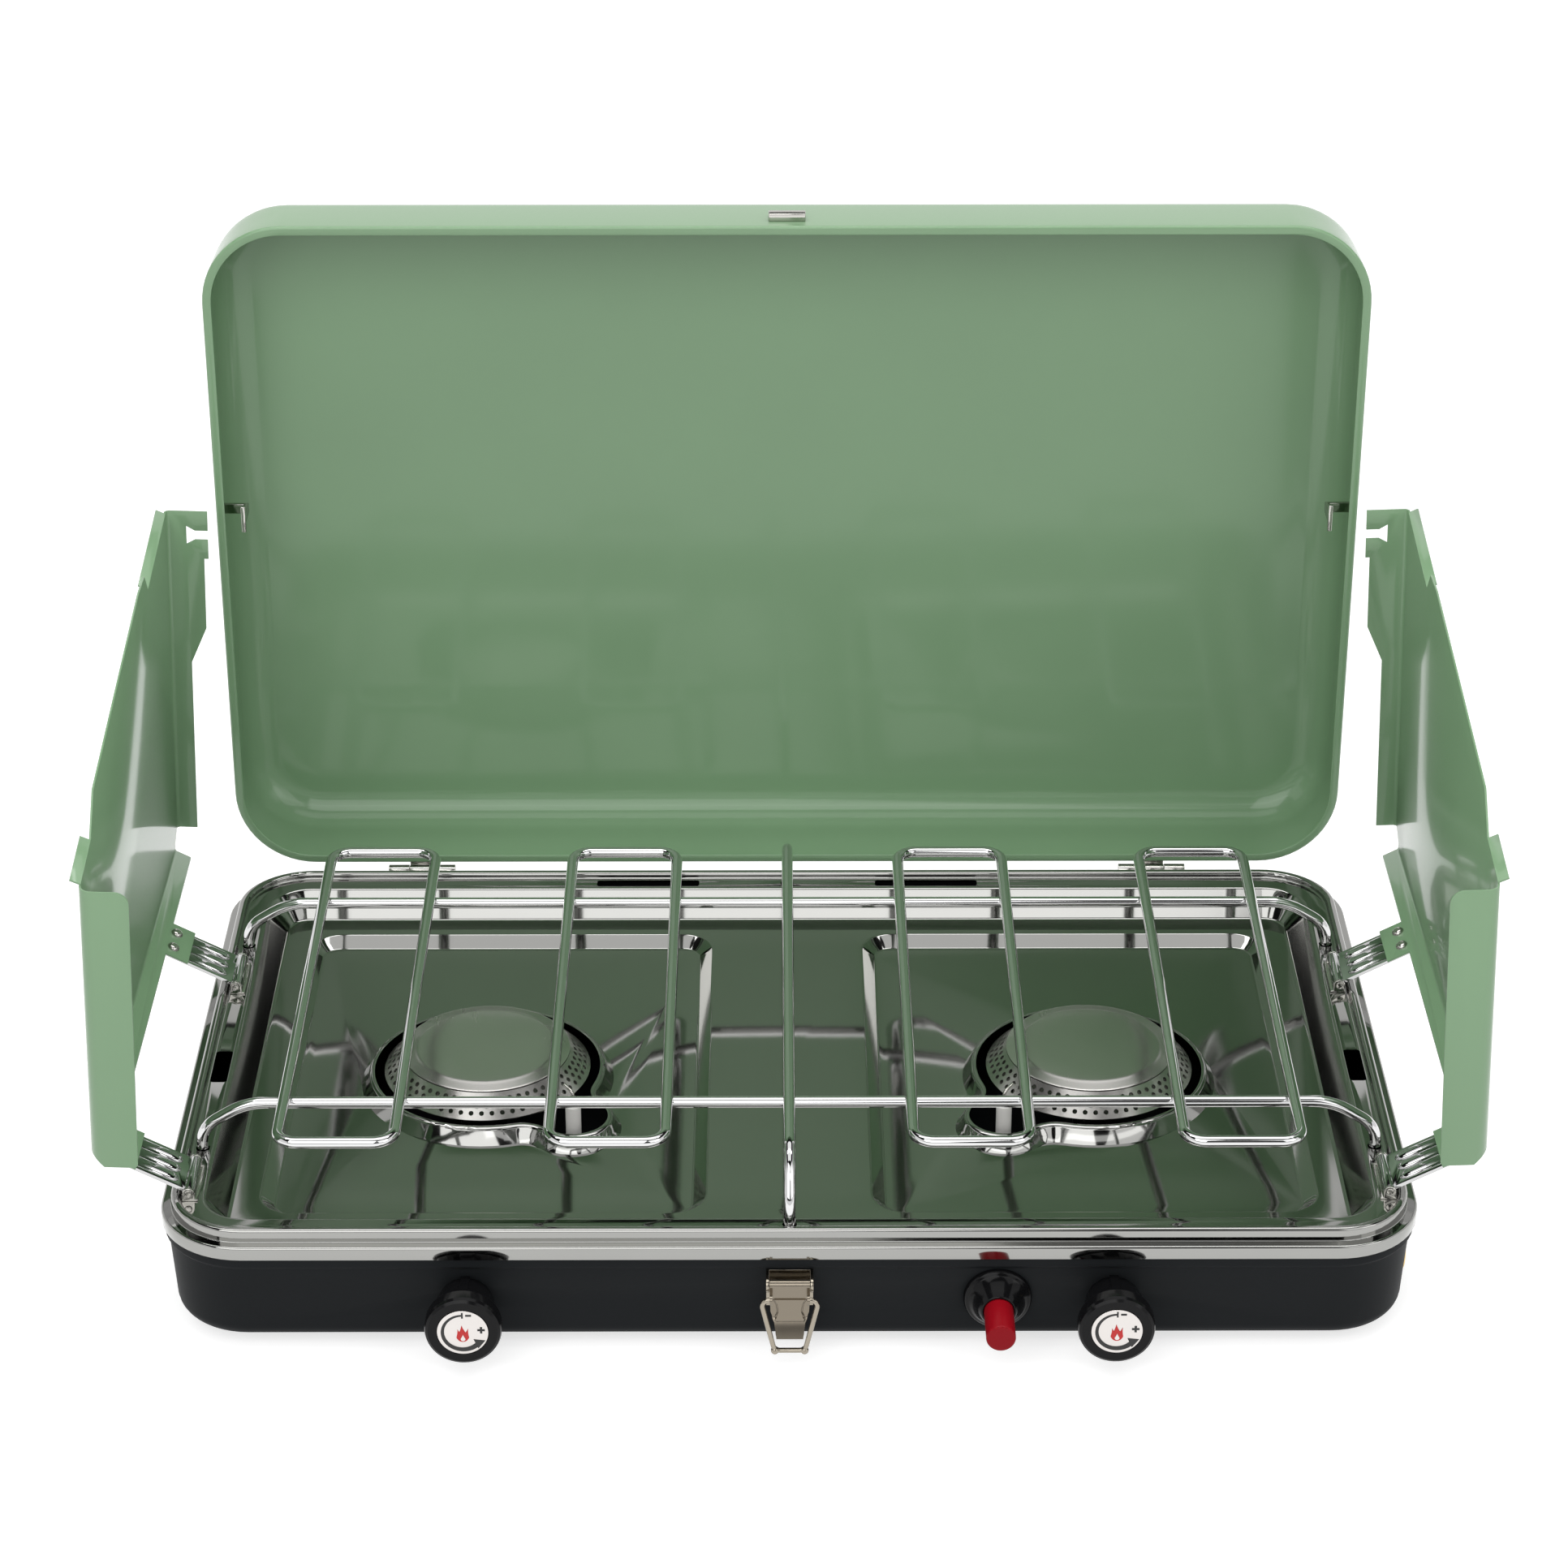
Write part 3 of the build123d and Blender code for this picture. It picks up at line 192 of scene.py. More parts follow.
SAGE_PAINT = Finish(
    "sage_paint", (0.19, 0.32, 0.18), 0.34, Grain.PEEL, 700.0, 0.000004, coat=0.6, coat_roughness=0.09,
    specular=0.25, shade=0.04,
)
CHARCOAL_PAINT = Finish(
    "charcoal_paint", (0.0118, 0.0132, 0.0144), 0.5, Grain.SPECK, 1500.0, 0.00003, specular=0.06, shade=0.1
)
TRAY_STEEL = Finish(
    "tray_steel", (0.31, 0.31, 0.298), 0.07, Grain.POLISHED, 14.0, 0.00002, metallic=1.0, shade=0.03,
    spread=0.02,
)
WIRE_CHROME = Finish(
    "wire_chrome", (0.62, 0.62, 0.62), 0.06, Grain.POLISHED, 90.0, 0.000008, metallic=1.0, shade=0.03,
    spread=0.02,
)
NICKEL_PLATE = Finish(
    "nickel_plate", (0.5, 0.49, 0.46), 0.14, Grain.POLISHED, 120.0, 0.00001, metallic=1.0, shade=0.04
)
ARM_CHROME = Finish(
    "arm_chrome", (0.5, 0.5, 0.5), 0.06, Grain.POLISHED, 90.0, 0.000008, metallic=1.0, shade=0.03,
    spread=0.02,
)
LATCH_NICKEL = Finish(
    "latch_nickel", (0.31, 0.278, 0.226), 0.17, Grain.POLISHED, 120.0, 0.000008, metallic=1.0, shade=0.04
)
# Painted shade: the lever is the same nickel plating as the latch's base and bail, given a darker colour so
# that its plate reads darker.
SHADED_LEVER_NICKEL = Finish(
    "shaded_lever_nickel", (0.2, 0.174, 0.138), 0.17, Grain.POLISHED, 120.0, 0.000008, metallic=1.0, shade=0.04
)
BURNER_STEEL = Finish(
    "burner_steel", (0.46, 0.45, 0.43), 0.26, Grain.BRUSHED, 400.0, 0.00001, metallic=1.0, shade=0.08,
    stretch=(1.0, 12.0, 1.0),
)
VALVE_BRASS = Finish("valve_brass", (0.72, 0.53, 0.24), 0.28, Grain.SPECK, 600.0, 0.00002, metallic=1.0)
PIPE_ALUMINIUM = Finish(
    "pipe_aluminium", (0.7, 0.7, 0.7), 0.35, Grain.BRUSHED, 500.0, 0.00002, metallic=1.0
)
KNOB_PLASTIC = Finish(
    "knob_plastic", (0.0045, 0.0045, 0.005), 0.14, Grain.SPECK, 1800.0, 0.000004, specular=0.14, shade=0.1
)
DIAL_SILVER = Finish("dial_silver", (0.62, 0.59, 0.57), 0.3, Grain.BRUSHED, 900.0, 0.000005, metallic=1.0)
BUTTON_RED = Finish("button_red", (0.24, 0.003, 0.008), 0.3, Grain.SPECK, 1200.0, 0.000008, specular=0.12)
GLAZED_CERAMIC = Finish("glazed_ceramic", (0.7, 0.69, 0.66), 0.2, Grain.SPECK, 900.0, 0.00001, coat=0.3)
LEAD_RUBBER = Finish("lead_rubber", (0.02, 0.02, 0.02), 0.6, Grain.SPECK, 1500.0, 0.00003)
FOOT_RUBBER = Finish("foot_rubber", (0.018, 0.018, 0.018), 0.75, Grain.SPECK, 1300.0, 0.00005)
DIAL_INK = Finish("dial_ink", (0.01, 0.01, 0.01), 0.5, Grain.SPECK, 1500.0, 0.000005)
FLAME_INK = Finish("flame_ink", (0.5, 0.02, 0.02), 0.5, Grain.SPECK, 1500.0, 0.000005)

SLOT_FINISHES: dict[str, Finish] = {
    "sage_paint": SAGE_PAINT,
    "housing_paint": CHARCOAL_PAINT,
    "tray_steel": TRAY_STEEL,
    "bright_wire": WIRE_CHROME,
    "plated_steel": NICKEL_PLATE,
    "burner_steel": BURNER_STEEL,
    "brass": VALVE_BRASS,
    "pipe_aluminium": PIPE_ALUMINIUM,
    "knob_black": KNOB_PLASTIC,
    "dial_silver": DIAL_SILVER,
    "button_red": BUTTON_RED,
    "white_ceramic": GLAZED_CERAMIC,
    "lead_rubber": LEAD_RUBBER,
    "foot_rubber": FOOT_RUBBER,
}


@dataclass
class Workshop:
    """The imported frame, and the steps that turn a bmesh into a piece of the stove."""

    frame: dict
    body_of: dict[str, str] = field(default_factory=dict)
    slot_of: dict[str, str] = field(default_factory=dict)
    edge_degrees: float = 40.0

    def __post_init__(self) -> None:
        """Look up the body and the material slot of every node."""
        record = self.frame["record"]
        for body, nodes in record["behaviour"]["bodies"].items():
            self.body_of.update({node: body for node in nodes})
        self.slot_of = {part["node"]: part["material_slot"] for part in record["subparts"]}

    def dress_nodes(self) -> None:
        """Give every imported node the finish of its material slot."""
        for node, slot in self.slot_of.items():
            mesh = self.frame["nodes"][node].data
            mesh.materials.clear()
            mesh.materials.append(SLOT_FINISHES[slot].material())
        log.info("dressed %d nodes", len(self.slot_of))

    def piece(
        self, bm: bmesh.types.BMesh, name: str, like: str, finish: Finish | None = None,
        replaces: tuple[str, ...] = (), sharp: float = 35.0,
    ) -> bpy.types.Object:
        """Finish a bmesh as a piece that rides where a node rides.

        Args:
            bm: the shape, in metres; it is freed.
            name: name of the new piece.
            like: node whose body and slot the piece takes.
            finish: finish of the piece, or None for that of the slot.
            replaces: nodes that the piece stands for.
            sharp: angle in degrees above which an edge stays sharp.

        Returns:
            The new object.
        """
        mesh = bpy.data.meshes.new(name)
        bm.to_mesh(mesh)
        bm.free()
        mesh.shade_smooth()
        mesh.set_sharp_from_angle(angle=math.radians(sharp))
        finish = finish or SLOT_FINISHES[self.slot_of[like]]
        mesh.materials.append(finish.material())
        made = bpy.data.objects.new(name, mesh)
        bpy.context.collection.objects.link(made)
        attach(made, self.body_of[like])
        if replaces:
            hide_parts(*replaces)
        log.info("%s: %d faces", name, len(mesh.polygons))
        return made

    def copy_of(self, node: str) -> bmesh.types.BMesh:
        """Copy a node's mesh with its triangles joined and flat areas merged.

        Args:
            node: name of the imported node.

        Returns:
            The joined copy.
        """
        bm = bmesh.new()
        bm.from_mesh(self.frame["nodes"][node].data)
        bmesh.ops.remove_doubles(bm, verts=bm.verts[:], dist=WELD)
        bmesh.ops.dissolve_limit(
            bm, angle_limit=math.radians(FLAT_DEGREES), use_dissolve_boundaries=False, verts=bm.verts[:],
            edges=bm.edges[:],
        )
        return bm

    def part_of(self, node: str, height: float, above: bool) -> bmesh.types.BMesh:
        """Copy the part of a node that lies above or below a level.

        Args:
            node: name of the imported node.
            height: level in metres.
            above: True keeps the upper part, False the lower part.

        Returns:
            The copy, closed at the level.
        """
        bm = self.copy_of(node)
        cut = bmesh.ops.bisect_plane(
            bm, geom=bm.verts[:] + bm.edges[:] + bm.faces[:], plane_co=(0.0, 0.0, height),
            plane_no=(0.0, 0.0, -1.0 if above else 1.0), clear_outer=True,
        )
        edges = [item for item in cut["geom_cut"] if isinstance(item, bmesh.types.BMEdge)]
        bmesh.ops.holes_fill(bm, edges=edges, sides=0)
        return bm

    def bevelled(self, node: str, width: float, segments: int = 2) -> bmesh.types.BMesh:
        """Copy a node and break its sharp edges by a small bevel.

        Args:
            node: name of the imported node.
            width: bevel width in millimetres; 0 leaves the edges as they are.
            segments: bevel segments.

        Returns:
            The bevelled copy.
        """
        bm = self.copy_of(node)
        limit = math.radians(self.edge_degrees)
        edges = [e for e in bm.edges if e.is_manifold and e.calc_face_angle(0.0) > limit]
        if width and edges:
            bmesh.ops.bevel(
                bm, geom=edges, offset=width * MM, offset_type="OFFSET", segments=segments, profile=0.5,
                affect="EDGES", clamp_overlap=True, material=-1,
            )
        return bm

    def softened(
        self, node: str, width: float, segments: int = 2, finish: Finish | None = None
    ) -> bpy.types.Object:
        """Stand in for a node with its bevelled copy.

        Args:
            node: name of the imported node.
            width: bevel width in millimetres.
            segments: bevel segments.
            finish: finish of the copy, or None for that of the slot.

        Returns:
            The new object.
        """
        bm = self.bevelled(node, width, segments)
        return self.piece(bm, f"{node}_finished", node, finish, (node,), self.edge_degrees)


def absorb(bm: bmesh.types.BMesh, other: bmesh.types.BMesh) -> None:
    """Add another shape to a mesh and free it.

    Args:
        bm: mesh that takes the shape.
        other: the shape; it is freed.
    """
    spare = bpy.data.meshes.new("spare")
    other.to_mesh(spare)
    other.free()
    bm.from_mesh(spare)
    bpy.data.meshes.remove(spare)


def lathe(bm: bmesh.types.BMesh, points: list[tuple[float, float]], place: Matrix, steps: int) -> None:
    """Turn a closed profile round the local Z axis and set it in place.

    Args:
        bm: mesh that takes the shape.
        points: radius and height of the profile's corners in millimetres; both ends may lie on the axis.
        place: where the local axis goes.
        steps: number of steps round the axis.
    """
    verts = [bm.verts.new(place @ Vector((r * MM, 0.0, h * MM))) for r, h in points]
    edges = [bm.edges.new((a, b)) for a, b in zip(verts, verts[1:])]
    center = place @ Vector((0.0, 0.0, 0.0))
    axis = (place.to_3x3() @ Vector((0.0, 0.0, 1.0))).normalized()
    bmesh.ops.spin(
        bm, geom=verts + edges, cent=center, axis=axis, angle=2 * math.pi, steps=steps, use_merge=True,
        use_duplicate=False,
    )
    bmesh.ops.remove_doubles(bm, verts=bm.verts[:], dist=WELD)
    bmesh.ops.recalc_face_normals(bm, faces=bm.faces[:])


def facing_front(x: float, y: float, z: float) -> Matrix:
    """Place whose local Z axis points to the front of the stove; sizes in metres."""
    return Matrix.Translation((x, y, z)) @ Matrix.Rotation(math.pi / 2, 4, "X")


def middle(node: str) -> Vector:
    """Middle of a node's box."""
    low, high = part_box(node)
    return (Vector(low) + Vector(high)) / 2


@dataclass
class Knob:
    """One gas knob: diamond-cut grip, smooth crown with a dial, and the dial's marks.

    Sizes are in millimetres. The crown's profile is given as radius and height over its start up to its
    widest ring, and as radius and depth under its face from there on. A bar has its place, its layer of ink,
    its width and its height. A tongue of the flame has its place, its turn, its radius and its height.
    """

    shop: Workshop
    side: str
    sides: int = 14
    rings: Profile = ((0.0, 11.6), (5.0, 12.8), (10.0, 13.8), (14.9, 14.9))
    ridge_degrees: float = 6.0
    ridge_bevel: float = 0.22
    pointer: Point = (3.8, 2.4, 14.2)
    pointer_radius: float = 12.3
    pointer_lean: float = 10.5
    crown_start: float = 14.4
    crown_rise: Profile = ((0.0, 0.0), (14.6, 0.0), (15.8, 1.0), (16.3, 2.4))
    crown_face: Profile = (
        (16.3, 2.2), (15.8, 0.8), (14.7, 0.0), (11.25, 0.0), (10.95, 0.3), (10.95, 0.8), (0.0, 0.8)
    )
    crown_steps: int = 96
    cut_sharp: float = 7.0
    mark_lift: float = 0.06
    layer: float = 0.025
    ink_share: float = 0.8
    arc_radius: float = 8.5
    arc_from: float = 91.0
    arc_sweep: float = 232.0
    arc_width: tuple[float, float] = (0.9, 2.3)
    arc_steps: int = 48
    arrow: float = 2.9
    bars: tuple[tuple[float, float, int, float, float], ...] = (
        (0.0, 8.5, 1, 0.75, 2.8), (2.6, 8.5, 0, 2.5, 0.95), (7.8, 1.2, 0, 3.2, 1.0), (7.8, 1.2, 1, 1.0, 3.2)
    )
    tongues: tuple[tuple[float, float, float, float, float], ...] = (
        (0.0, -2.2, 4.0, 2.5, 5.8), (-1.2, -2.2, 14.0, 1.5, 4.0), (1.2, -2.2, -16.0, 1.5, 4.4)
    )
    core: tuple[float, float, float, float] = (0.1, -3.2, 1.0, 2.3)
    core_share: float = 0.5
    drop_steps: int = 24
    drop_pinch: float = 0.85

    def grip(self) -> None:
        """Build the grip and crown, and stand them in for the plain knob."""
        node = f"knob_{self.side}"
        low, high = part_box(node)
        center = middle(node)
        back = high[1]
        top = (high[1] - low[1]) / MM
        bm = bmesh.new()
        for k, (depth, radius) in enumerate(self.rings):
            turn = Matrix.Rotation((k % 2) * math.pi / self.sides, 4, "Z")
            place = facing_front(center.x, back - depth * MM, center.z) @ turn
            bmesh.ops.create_circle(bm, segments=self.sides, radius=radius * MM, matrix=place)
        bmesh.ops.convex_hull(bm, input=bm.verts[:])
        limit = math.radians(self.ridge_degrees)
        ridges = [e for e in bm.edges if e.is_manifold and e.calc_face_angle(0.0) > limit]
        bmesh.ops.bevel(
            bm, geom=ridges, offset=self.ridge_bevel * MM, offset_type="OFFSET", segments=1, profile=0.5,
            affect="EDGES", clamp_overlap=True, material=-1,
        )
        bar = Matrix.Translation((0.0, self.pointer_radius * MM, self.pointer[2] / 2 * MM))
        bar = bar @ Matrix.Rotation(math.radians(-self.pointer_lean), 4, "X")
        size = Matrix.Diagonal((*[edge * MM for edge in self.pointer], 1.0))
        bmesh.ops.create_cube(bm, size=1.0, matrix=facing_front(center.x, back, center.z) @ bar @ size)
        crown = bmesh.new()
        profile = [(radius, self.crown_start + rise) for radius, rise in self.crown_rise]
        profile += [(radius, top - depth) for radius, depth in self.crown_face]
        lathe(crown, profile, facing_front(center.x, back, center.z), self.crown_steps)
        absorb(bm, crown)
        self.shop.piece(bm, f"{node}_cut_grip", node, replaces=(node,), sharp=self.cut_sharp)

    def _mark_place(self) -> Matrix:
        """Place of the marks just above the dial, with local X to the right and local Y up."""
        node = f"knob_dial_{self.side}"
        low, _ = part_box(node)
        center = middle(node)
        return facing_front(center.x, low[1] - self.mark_lift * MM, center.z)

    def _inked(self, bm: bmesh.types.BMesh, share: float) -> None:
        """Give flat marks the thickness of their ink, as a share of the lift."""
        bmesh.ops.recalc_face_normals(bm, faces=bm.faces[:])
        bmesh.ops.solidify(bm, geom=bm.faces[:], thickness=self.mark_lift * MM * share)

    def marks(self) -> None:
        """Print the turning arc with its arrow, the minus and the plus on the dial."""
        place = self._mark_place()
        bm = bmesh.new()
        start, end = self.arc_width
        ring = self.arc_radius * MM
        sweep = math.radians(self.arc_sweep)
        inner = bm.verts.new((ring - start / 2 * MM, 0.0, 0.0))
        outer = bm.verts.new((ring + start / 2 * MM, 0.0, 0.0))
        edge = bm.edges.new((inner, outer))
        bmesh.ops.spin(
            bm, geom=[inner, outer, edge], cent=(0, 0, 0), axis=(0, 0, 1), angle=sweep, steps=self.arc_steps,
            use_merge=False, use_duplicate=False,
        )
        for vert in bm.verts:
            share = (math.atan2(vert.co.y, vert.co.x) % (2 * math.pi)) / sweep
            radius = vert.co.length
            half = (start + (end - start) * share) * MM / 2
            vert.co *= (ring + math.copysign(half, radius - ring)) / radius
        tip = Matrix.Translation((ring, 0.0, self.layer * MM)) @ Matrix.Rotation(math.pi / 2, 4, "Z")
        head = Matrix.Rotation(sweep, 4, "Z") @ tip
        bmesh.ops.create_circle(bm, cap_ends=True, segments=3, radius=self.arrow * MM, matrix=head)
        turned = place @ Matrix.Rotation(math.radians(self.arc_from), 4, "Z")
        bmesh.ops.transform(bm, matrix=turned, verts=bm.verts[:], space=Matrix())
        self._inked(bm, self.ink_share)
        for x, y, level, width, height in self.bars:
            shape = place @ Matrix.Translation((x * MM, y * MM, level * self.layer * MM))
            scale = Matrix.Diagonal((width * MM, height * MM, self.mark_lift * MM, 1.0))
            bmesh.ops.create_cube(bm, size=1.0, matrix=shape @ scale)
        bmesh.ops.recalc_face_normals(bm, faces=bm.faces[:])
        self.shop.piece(bm, f"dial_marks_{self.side}", f"knob_{self.side}", DIAL_INK)

    def _drop(self, bm: bmesh.types.BMesh, shape: Matrix, width: float, height: float) -> None:
        """Add a flat drop with its point up.

        Args:
            bm: mesh that takes the drop.
            shape: place of the drop's round end.
            width: radius of the round end in millimetres.
            height: height of the point over the middle of the round end in millimetres.
        """
        round_end = shape @ Matrix.Diagonal((width, width, 1.0, 1.0))
        made = bmesh.ops.create_circle(
            bm, cap_ends=True, segments=self.drop_steps, radius=MM, matrix=round_end
        )
        back = shape.inverted()
        for vert in made["verts"]:
            local = back @ vert.co
            if local.y > 0:
                pull = local.y / (width * MM)
                local.x *= 1.0 - self.drop_pinch * pull * pull
                local.y *= 1.0 + (height / width - 1.0) * pull * pull
                vert.co = shape @ local

    def flame(self) -> None:
        """Print a plain flame of three tongues, with a light core, in the middle of the dial."""
        place = self._mark_place()
        bm = bmesh.new()
        for k, (x, y, turn, width, height) in enumerate(self.tongues):
            shape = place @ Matrix.Translation((x * MM, y * MM, k * self.layer * MM))
            self._drop(bm, shape @ Matrix.Rotation(math.radians(turn), 4, "Z"), width, height)
        self._inked(bm, self.ink_share)
        bmesh.ops.recalc_face_normals(bm, faces=bm.faces[:])
        self.shop.piece(bm, f"dial_flame_{self.side}", f"knob_{self.side}", FLAME_INK)
        core = bmesh.new()
        x, y, width, height = self.core
        over = self.mark_lift + len(self.tongues) * self.layer
        shape = place @ Matrix.Translation((x * MM, y * MM, over * MM))
        self._drop(core, shape, width, height)
        self._inked(core, self.core_share)
        bmesh.ops.recalc_face_normals(core, faces=core.faces[:])
        self.shop.piece(core, f"dial_flame_core_{self.side}", f"knob_{self.side}", DIAL_SILVER)

    def build(self) -> None:
        """Build the knob."""
        self.grip()
        self.marks()
        self.flame()


@dataclass
class Igniter:
    """Push igniter: flared glossy collar and button. Sizes in millimetres."""

    shop: Workshop
    depth: float = 12.0
    collar: Profile = (
        (6.42, 0.0), (6.42, 11.7), (6.75, 12.0), (7.2, 11.95), (7.6, 11.5), (8.9, 8.9), (10.6, 6.0),
        (12.2, 3.9), (12.8, 3.4), (13.5, 3.15), (14.1, 2.6), (14.5, 1.7), (14.5, 0.0),
    )
    collar_steps: int = 96
    collar_sharp: float = 50.0
    button_edge: float = 0.5

    def build(self) -> None:
        """Build the collar and soften the button's edge."""
        low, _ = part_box("igniter_bezel")
        center = middle("igniter_bezel")
        bm = bmesh.new()
        seat = low[1] + self.depth * MM
        place = facing_front(center.x, seat, center.z)
        lathe(bm, [*self.collar, self.collar[0]], place, self.collar_steps)
        self.shop.piece(
            bm, "igniter_bezel_collar", "igniter_bezel", replaces=("igniter_bezel",), sharp=self.collar_sharp
        )
        self.shop.softened("igniter_button", self.button_edge, segments=3)


@dataclass
class Burner:
    """One burner: perforated flame cone over a bowl, and its domed cap. Sizes in millimetres."""

    shop: Workshop
    side: str
    rim_radius: float = 47.0
    top_radius: float = 38.0
    cone_height: float = 9.0
    skin: float = 1.0
    port_rows: int = 3
    port_count: int = 60
    port_radius: float = 1.15
    port_sides: int = 8
    drill_depth: float = 4.0
    bowl: Profile = ((13.0, -14.0), (30.0, -6.5), (45.5, -1.4), (47.0, -0.6))
    rim_inset: float = 0.6
    skin_share: float = 0.6
    dome: Profile = (
        (0.0, 0.0), (37.4, 0.0), (38.0, 0.3), (38.0, 0.7), (37.2, 1.1), (33.5, 1.3), (32.4, 1.9), (30.5, 2.2),
        (22.0, 2.4), (14.0, 2.55), (6.0, 2.7), (0.0, 2.75),
    )
    steps: int = 120
    sharp: float = 35.0

    def _ports(self, base: Matrix) -> bpy.types.Object:
        """Make the drills for the flame ports.

        Args:
            base: place of the cone's foot.

        Returns:
            A spare object with all the drills.
        """
        bm = bmesh.new()
        run = self.rim_radius - self.top_radius
        lean = math.atan2(self.cone_height, run)
        for row in range(self.port_rows):
            share = (row + 1) / (self.port_rows + 1)
            radius = (self.rim_radius - run * share) * MM
            height = self.cone_height * share * MM
            for k in range(self.port_count):
                angle = 2 * math.pi * (k + 0.5 * (row % 2)) / self.port_count
                place = base @ Matrix.Rotation(angle, 4, "Z") @ Matrix.Translation((radius, 0.0, height))
                drill = place @ Matrix.Rotation(math.pi / 2 - lean, 4, "Y")
                bmesh.ops.create_cone(
                    bm, cap_ends=True, segments=self.port_sides, radius1=self.port_radius * MM,
                    radius2=self.port_radius * MM, depth=self.drill_depth * MM, matrix=drill,
                )
        mesh = bpy.data.meshes.new("port_drills")
        bm.to_mesh(mesh)
        bm.free()
        drills = bpy.data.objects.new("port_drills", mesh)
        bpy.context.collection.objects.link(drills)
        return drills

    def head(self) -> None:
        """Build the bowl with its drilled cone."""
        node = f"burner_head_{self.side}"
        cap_low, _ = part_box(f"burner_cap_{self.side}")
        center = middle(f"burner_cap_{self.side}")
        base = Matrix.Translation((center.x, center.y, cap_low[2] - self.cone_height * MM))
        floor = self.bowl[0][1]
        outer = [*self.bowl, (self.rim_radius, 0.0), (self.top_radius, self.cone_height)]
        cone = ((self.top_radius, self.cone_height), (self.rim_radius - self.rim_inset, 0.0))
        inner = [(r - self.skin, h) for r, h in cone]
        inner += [(r - self.skin_share * self.skin, h + self.skin) for r, h in reversed(self.bowl[:-1])]
        bm = bmesh.new()
        lathe(bm, [(0.0, floor), *outer, *inner, (0.0, floor + self.skin)], base, self.steps)
        absorb(bm, self.shop.part_of(node, base.translation.z + floor * MM, above=False))
        head = self.shop.piece(bm, f"{node}_drilled", node, replaces=(node,), sharp=self.sharp)
        drills = self._ports(base)
        cut = head.modifiers.new("ports", "BOOLEAN")
        cut.operation = "DIFFERENCE"
        cut.solver = "EXACT"
        cut.object = drills
        solved = head.evaluated_get(bpy.context.evaluated_depsgraph_get())
        mesh = bpy.data.meshes.new_from_object(solved)
        head.modifiers.clear()
        head.data = mesh
        mesh.set_sharp_from_angle(angle=math.radians(self.sharp))
        bpy.data.objects.remove(drills)

    def cap(self) -> None:
        """Build the domed cap with its pressed ring."""
        node = f"burner_cap_{self.side}"
        low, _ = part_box(node)
        center = middle(node)
        bm = bmesh.new()
        lathe(bm, [*self.dome], Matrix.Translation((center.x, center.y, low[2])), self.steps)
        self.shop.piece(bm, f"{node}_domed", node, replaces=(node,), sharp=self.sharp)

    def build(self) -> None:
        """Build the burner."""
        self.head()
        self.cap()


@dataclass
class SheetWork:
    """Bevels, in millimetres, that break the edges of the sheet metal and small hardware."""

    shop: Workshop
    edges: tuple[tuple[str, float], ...] = (
        ("lid_shell", 0.25),
        ("cooktop_tray", 0.2),
        ("base_housing", 0.3),
        ("grate_front_wire", 0.3),
        ("grate_rear_wire", 0.3),
        ("grate_center_wire", 0.3),
        ("grate_pan_loops", 0.0),
        ("lid_catch", 0.35),
        ("lid_lugs", 0.35),
        ("lid_hinge_pins", 0.2),
        ("gas_inlet", 0.4),
        ("rubber_feet", 0.5),
        ("foot_screws", 0.2),
    )
    paired: tuple[tuple[str, float], ...] = (
        ("windscreen", 0.25),
        ("screen_rivets", 0.2),
        ("screen_brackets", 0.2),
        ("screen_pins", 0.2),
        ("base_hinge_leaf", 0.2),
        ("lid_hinge_leaf", 0.2),
        ("electrode", 0.2),
        ("electrode_pin", 0.1),
        ("knob_dial", 0.15),
    )

    def build(self) -> None:
        """Soften each node in turn."""
        for node, width in self.edges:
            self.shop.softened(node, width)
        for stem, width in self.paired:
            for side in ("left", "right"):
                self.shop.softened(f"{stem}_{side}", width)


@dataclass
class ScreenArm:
    """One windscreen arm: the hinged strip with rounded ribs pressed up along it. Sizes in millimetres."""

    shop: Workshop
    node: str
    barrel_radius: float = 2.6
    angle: float = 28.0
    thickness: float = 1.4
    rib_spacing: float = 7.35
    rib_width: float = 5.6
    rib_rise: float = 1.3
    rib_start: float = 5.6
    rib_end: float = 24.9
    nose_stretch: float = 1.6
    nose_degrees: int = 15
    rib_steps: int = 32
    edge: float = 0.2

    def build(self) -> None:
        """Add the ribs to the bevelled strip."""
        low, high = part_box(self.node)
        side = 1.0 if self.node.endswith("right") else -1.0
        hinge_x = low[0] + self.barrel_radius * MM if side > 0 else high[0] - self.barrel_radius * MM
        hinge = Matrix.Translation((hinge_x, (low[1] + high[1]) / 2, low[2] + self.barrel_radius * MM))
        lean = Matrix.Rotation(math.radians(-self.angle), 4, "Y")
        place = hinge @ Matrix.Diagonal((side, 1.0, 1.0, 1.0)) @ lean
        half = self.rib_width / 2
        reach = half * self.nose_stretch
        turns = [math.radians(a) for a in range(0, 91, self.nose_degrees)]
        nose = [(half * math.sin(a), self.rib_start + reach * (1 - math.cos(a))) for a in turns]
        bm = self.shop.bevelled(self.node, self.edge)
        for k in (-1, 0, 1):
            rib = bmesh.new()
            lathe(rib, [*nose, (half, self.rib_end), (0.0, self.rib_end)], Matrix(), self.rib_steps)
            squash = Matrix.Diagonal((1.0, 1.0, self.rib_rise / half, 1.0))
            lay = Matrix.Translation((0.0, k * self.rib_spacing * MM, self.thickness / 2 * MM))
            along = place @ lay @ squash @ Matrix.Rotation(math.pi / 2, 4, "Y")
            bmesh.ops.transform(rib, matrix=along, verts=rib.verts[:], space=Matrix())
            bmesh.ops.recalc_face_normals(rib, faces=rib.faces[:])
            absorb(bm, rib)
        self.shop.piece(
            bm, f"{self.node}_ribbed", self.node, ARM_CHROME, (self.node,), self.shop.edge_degrees
        )


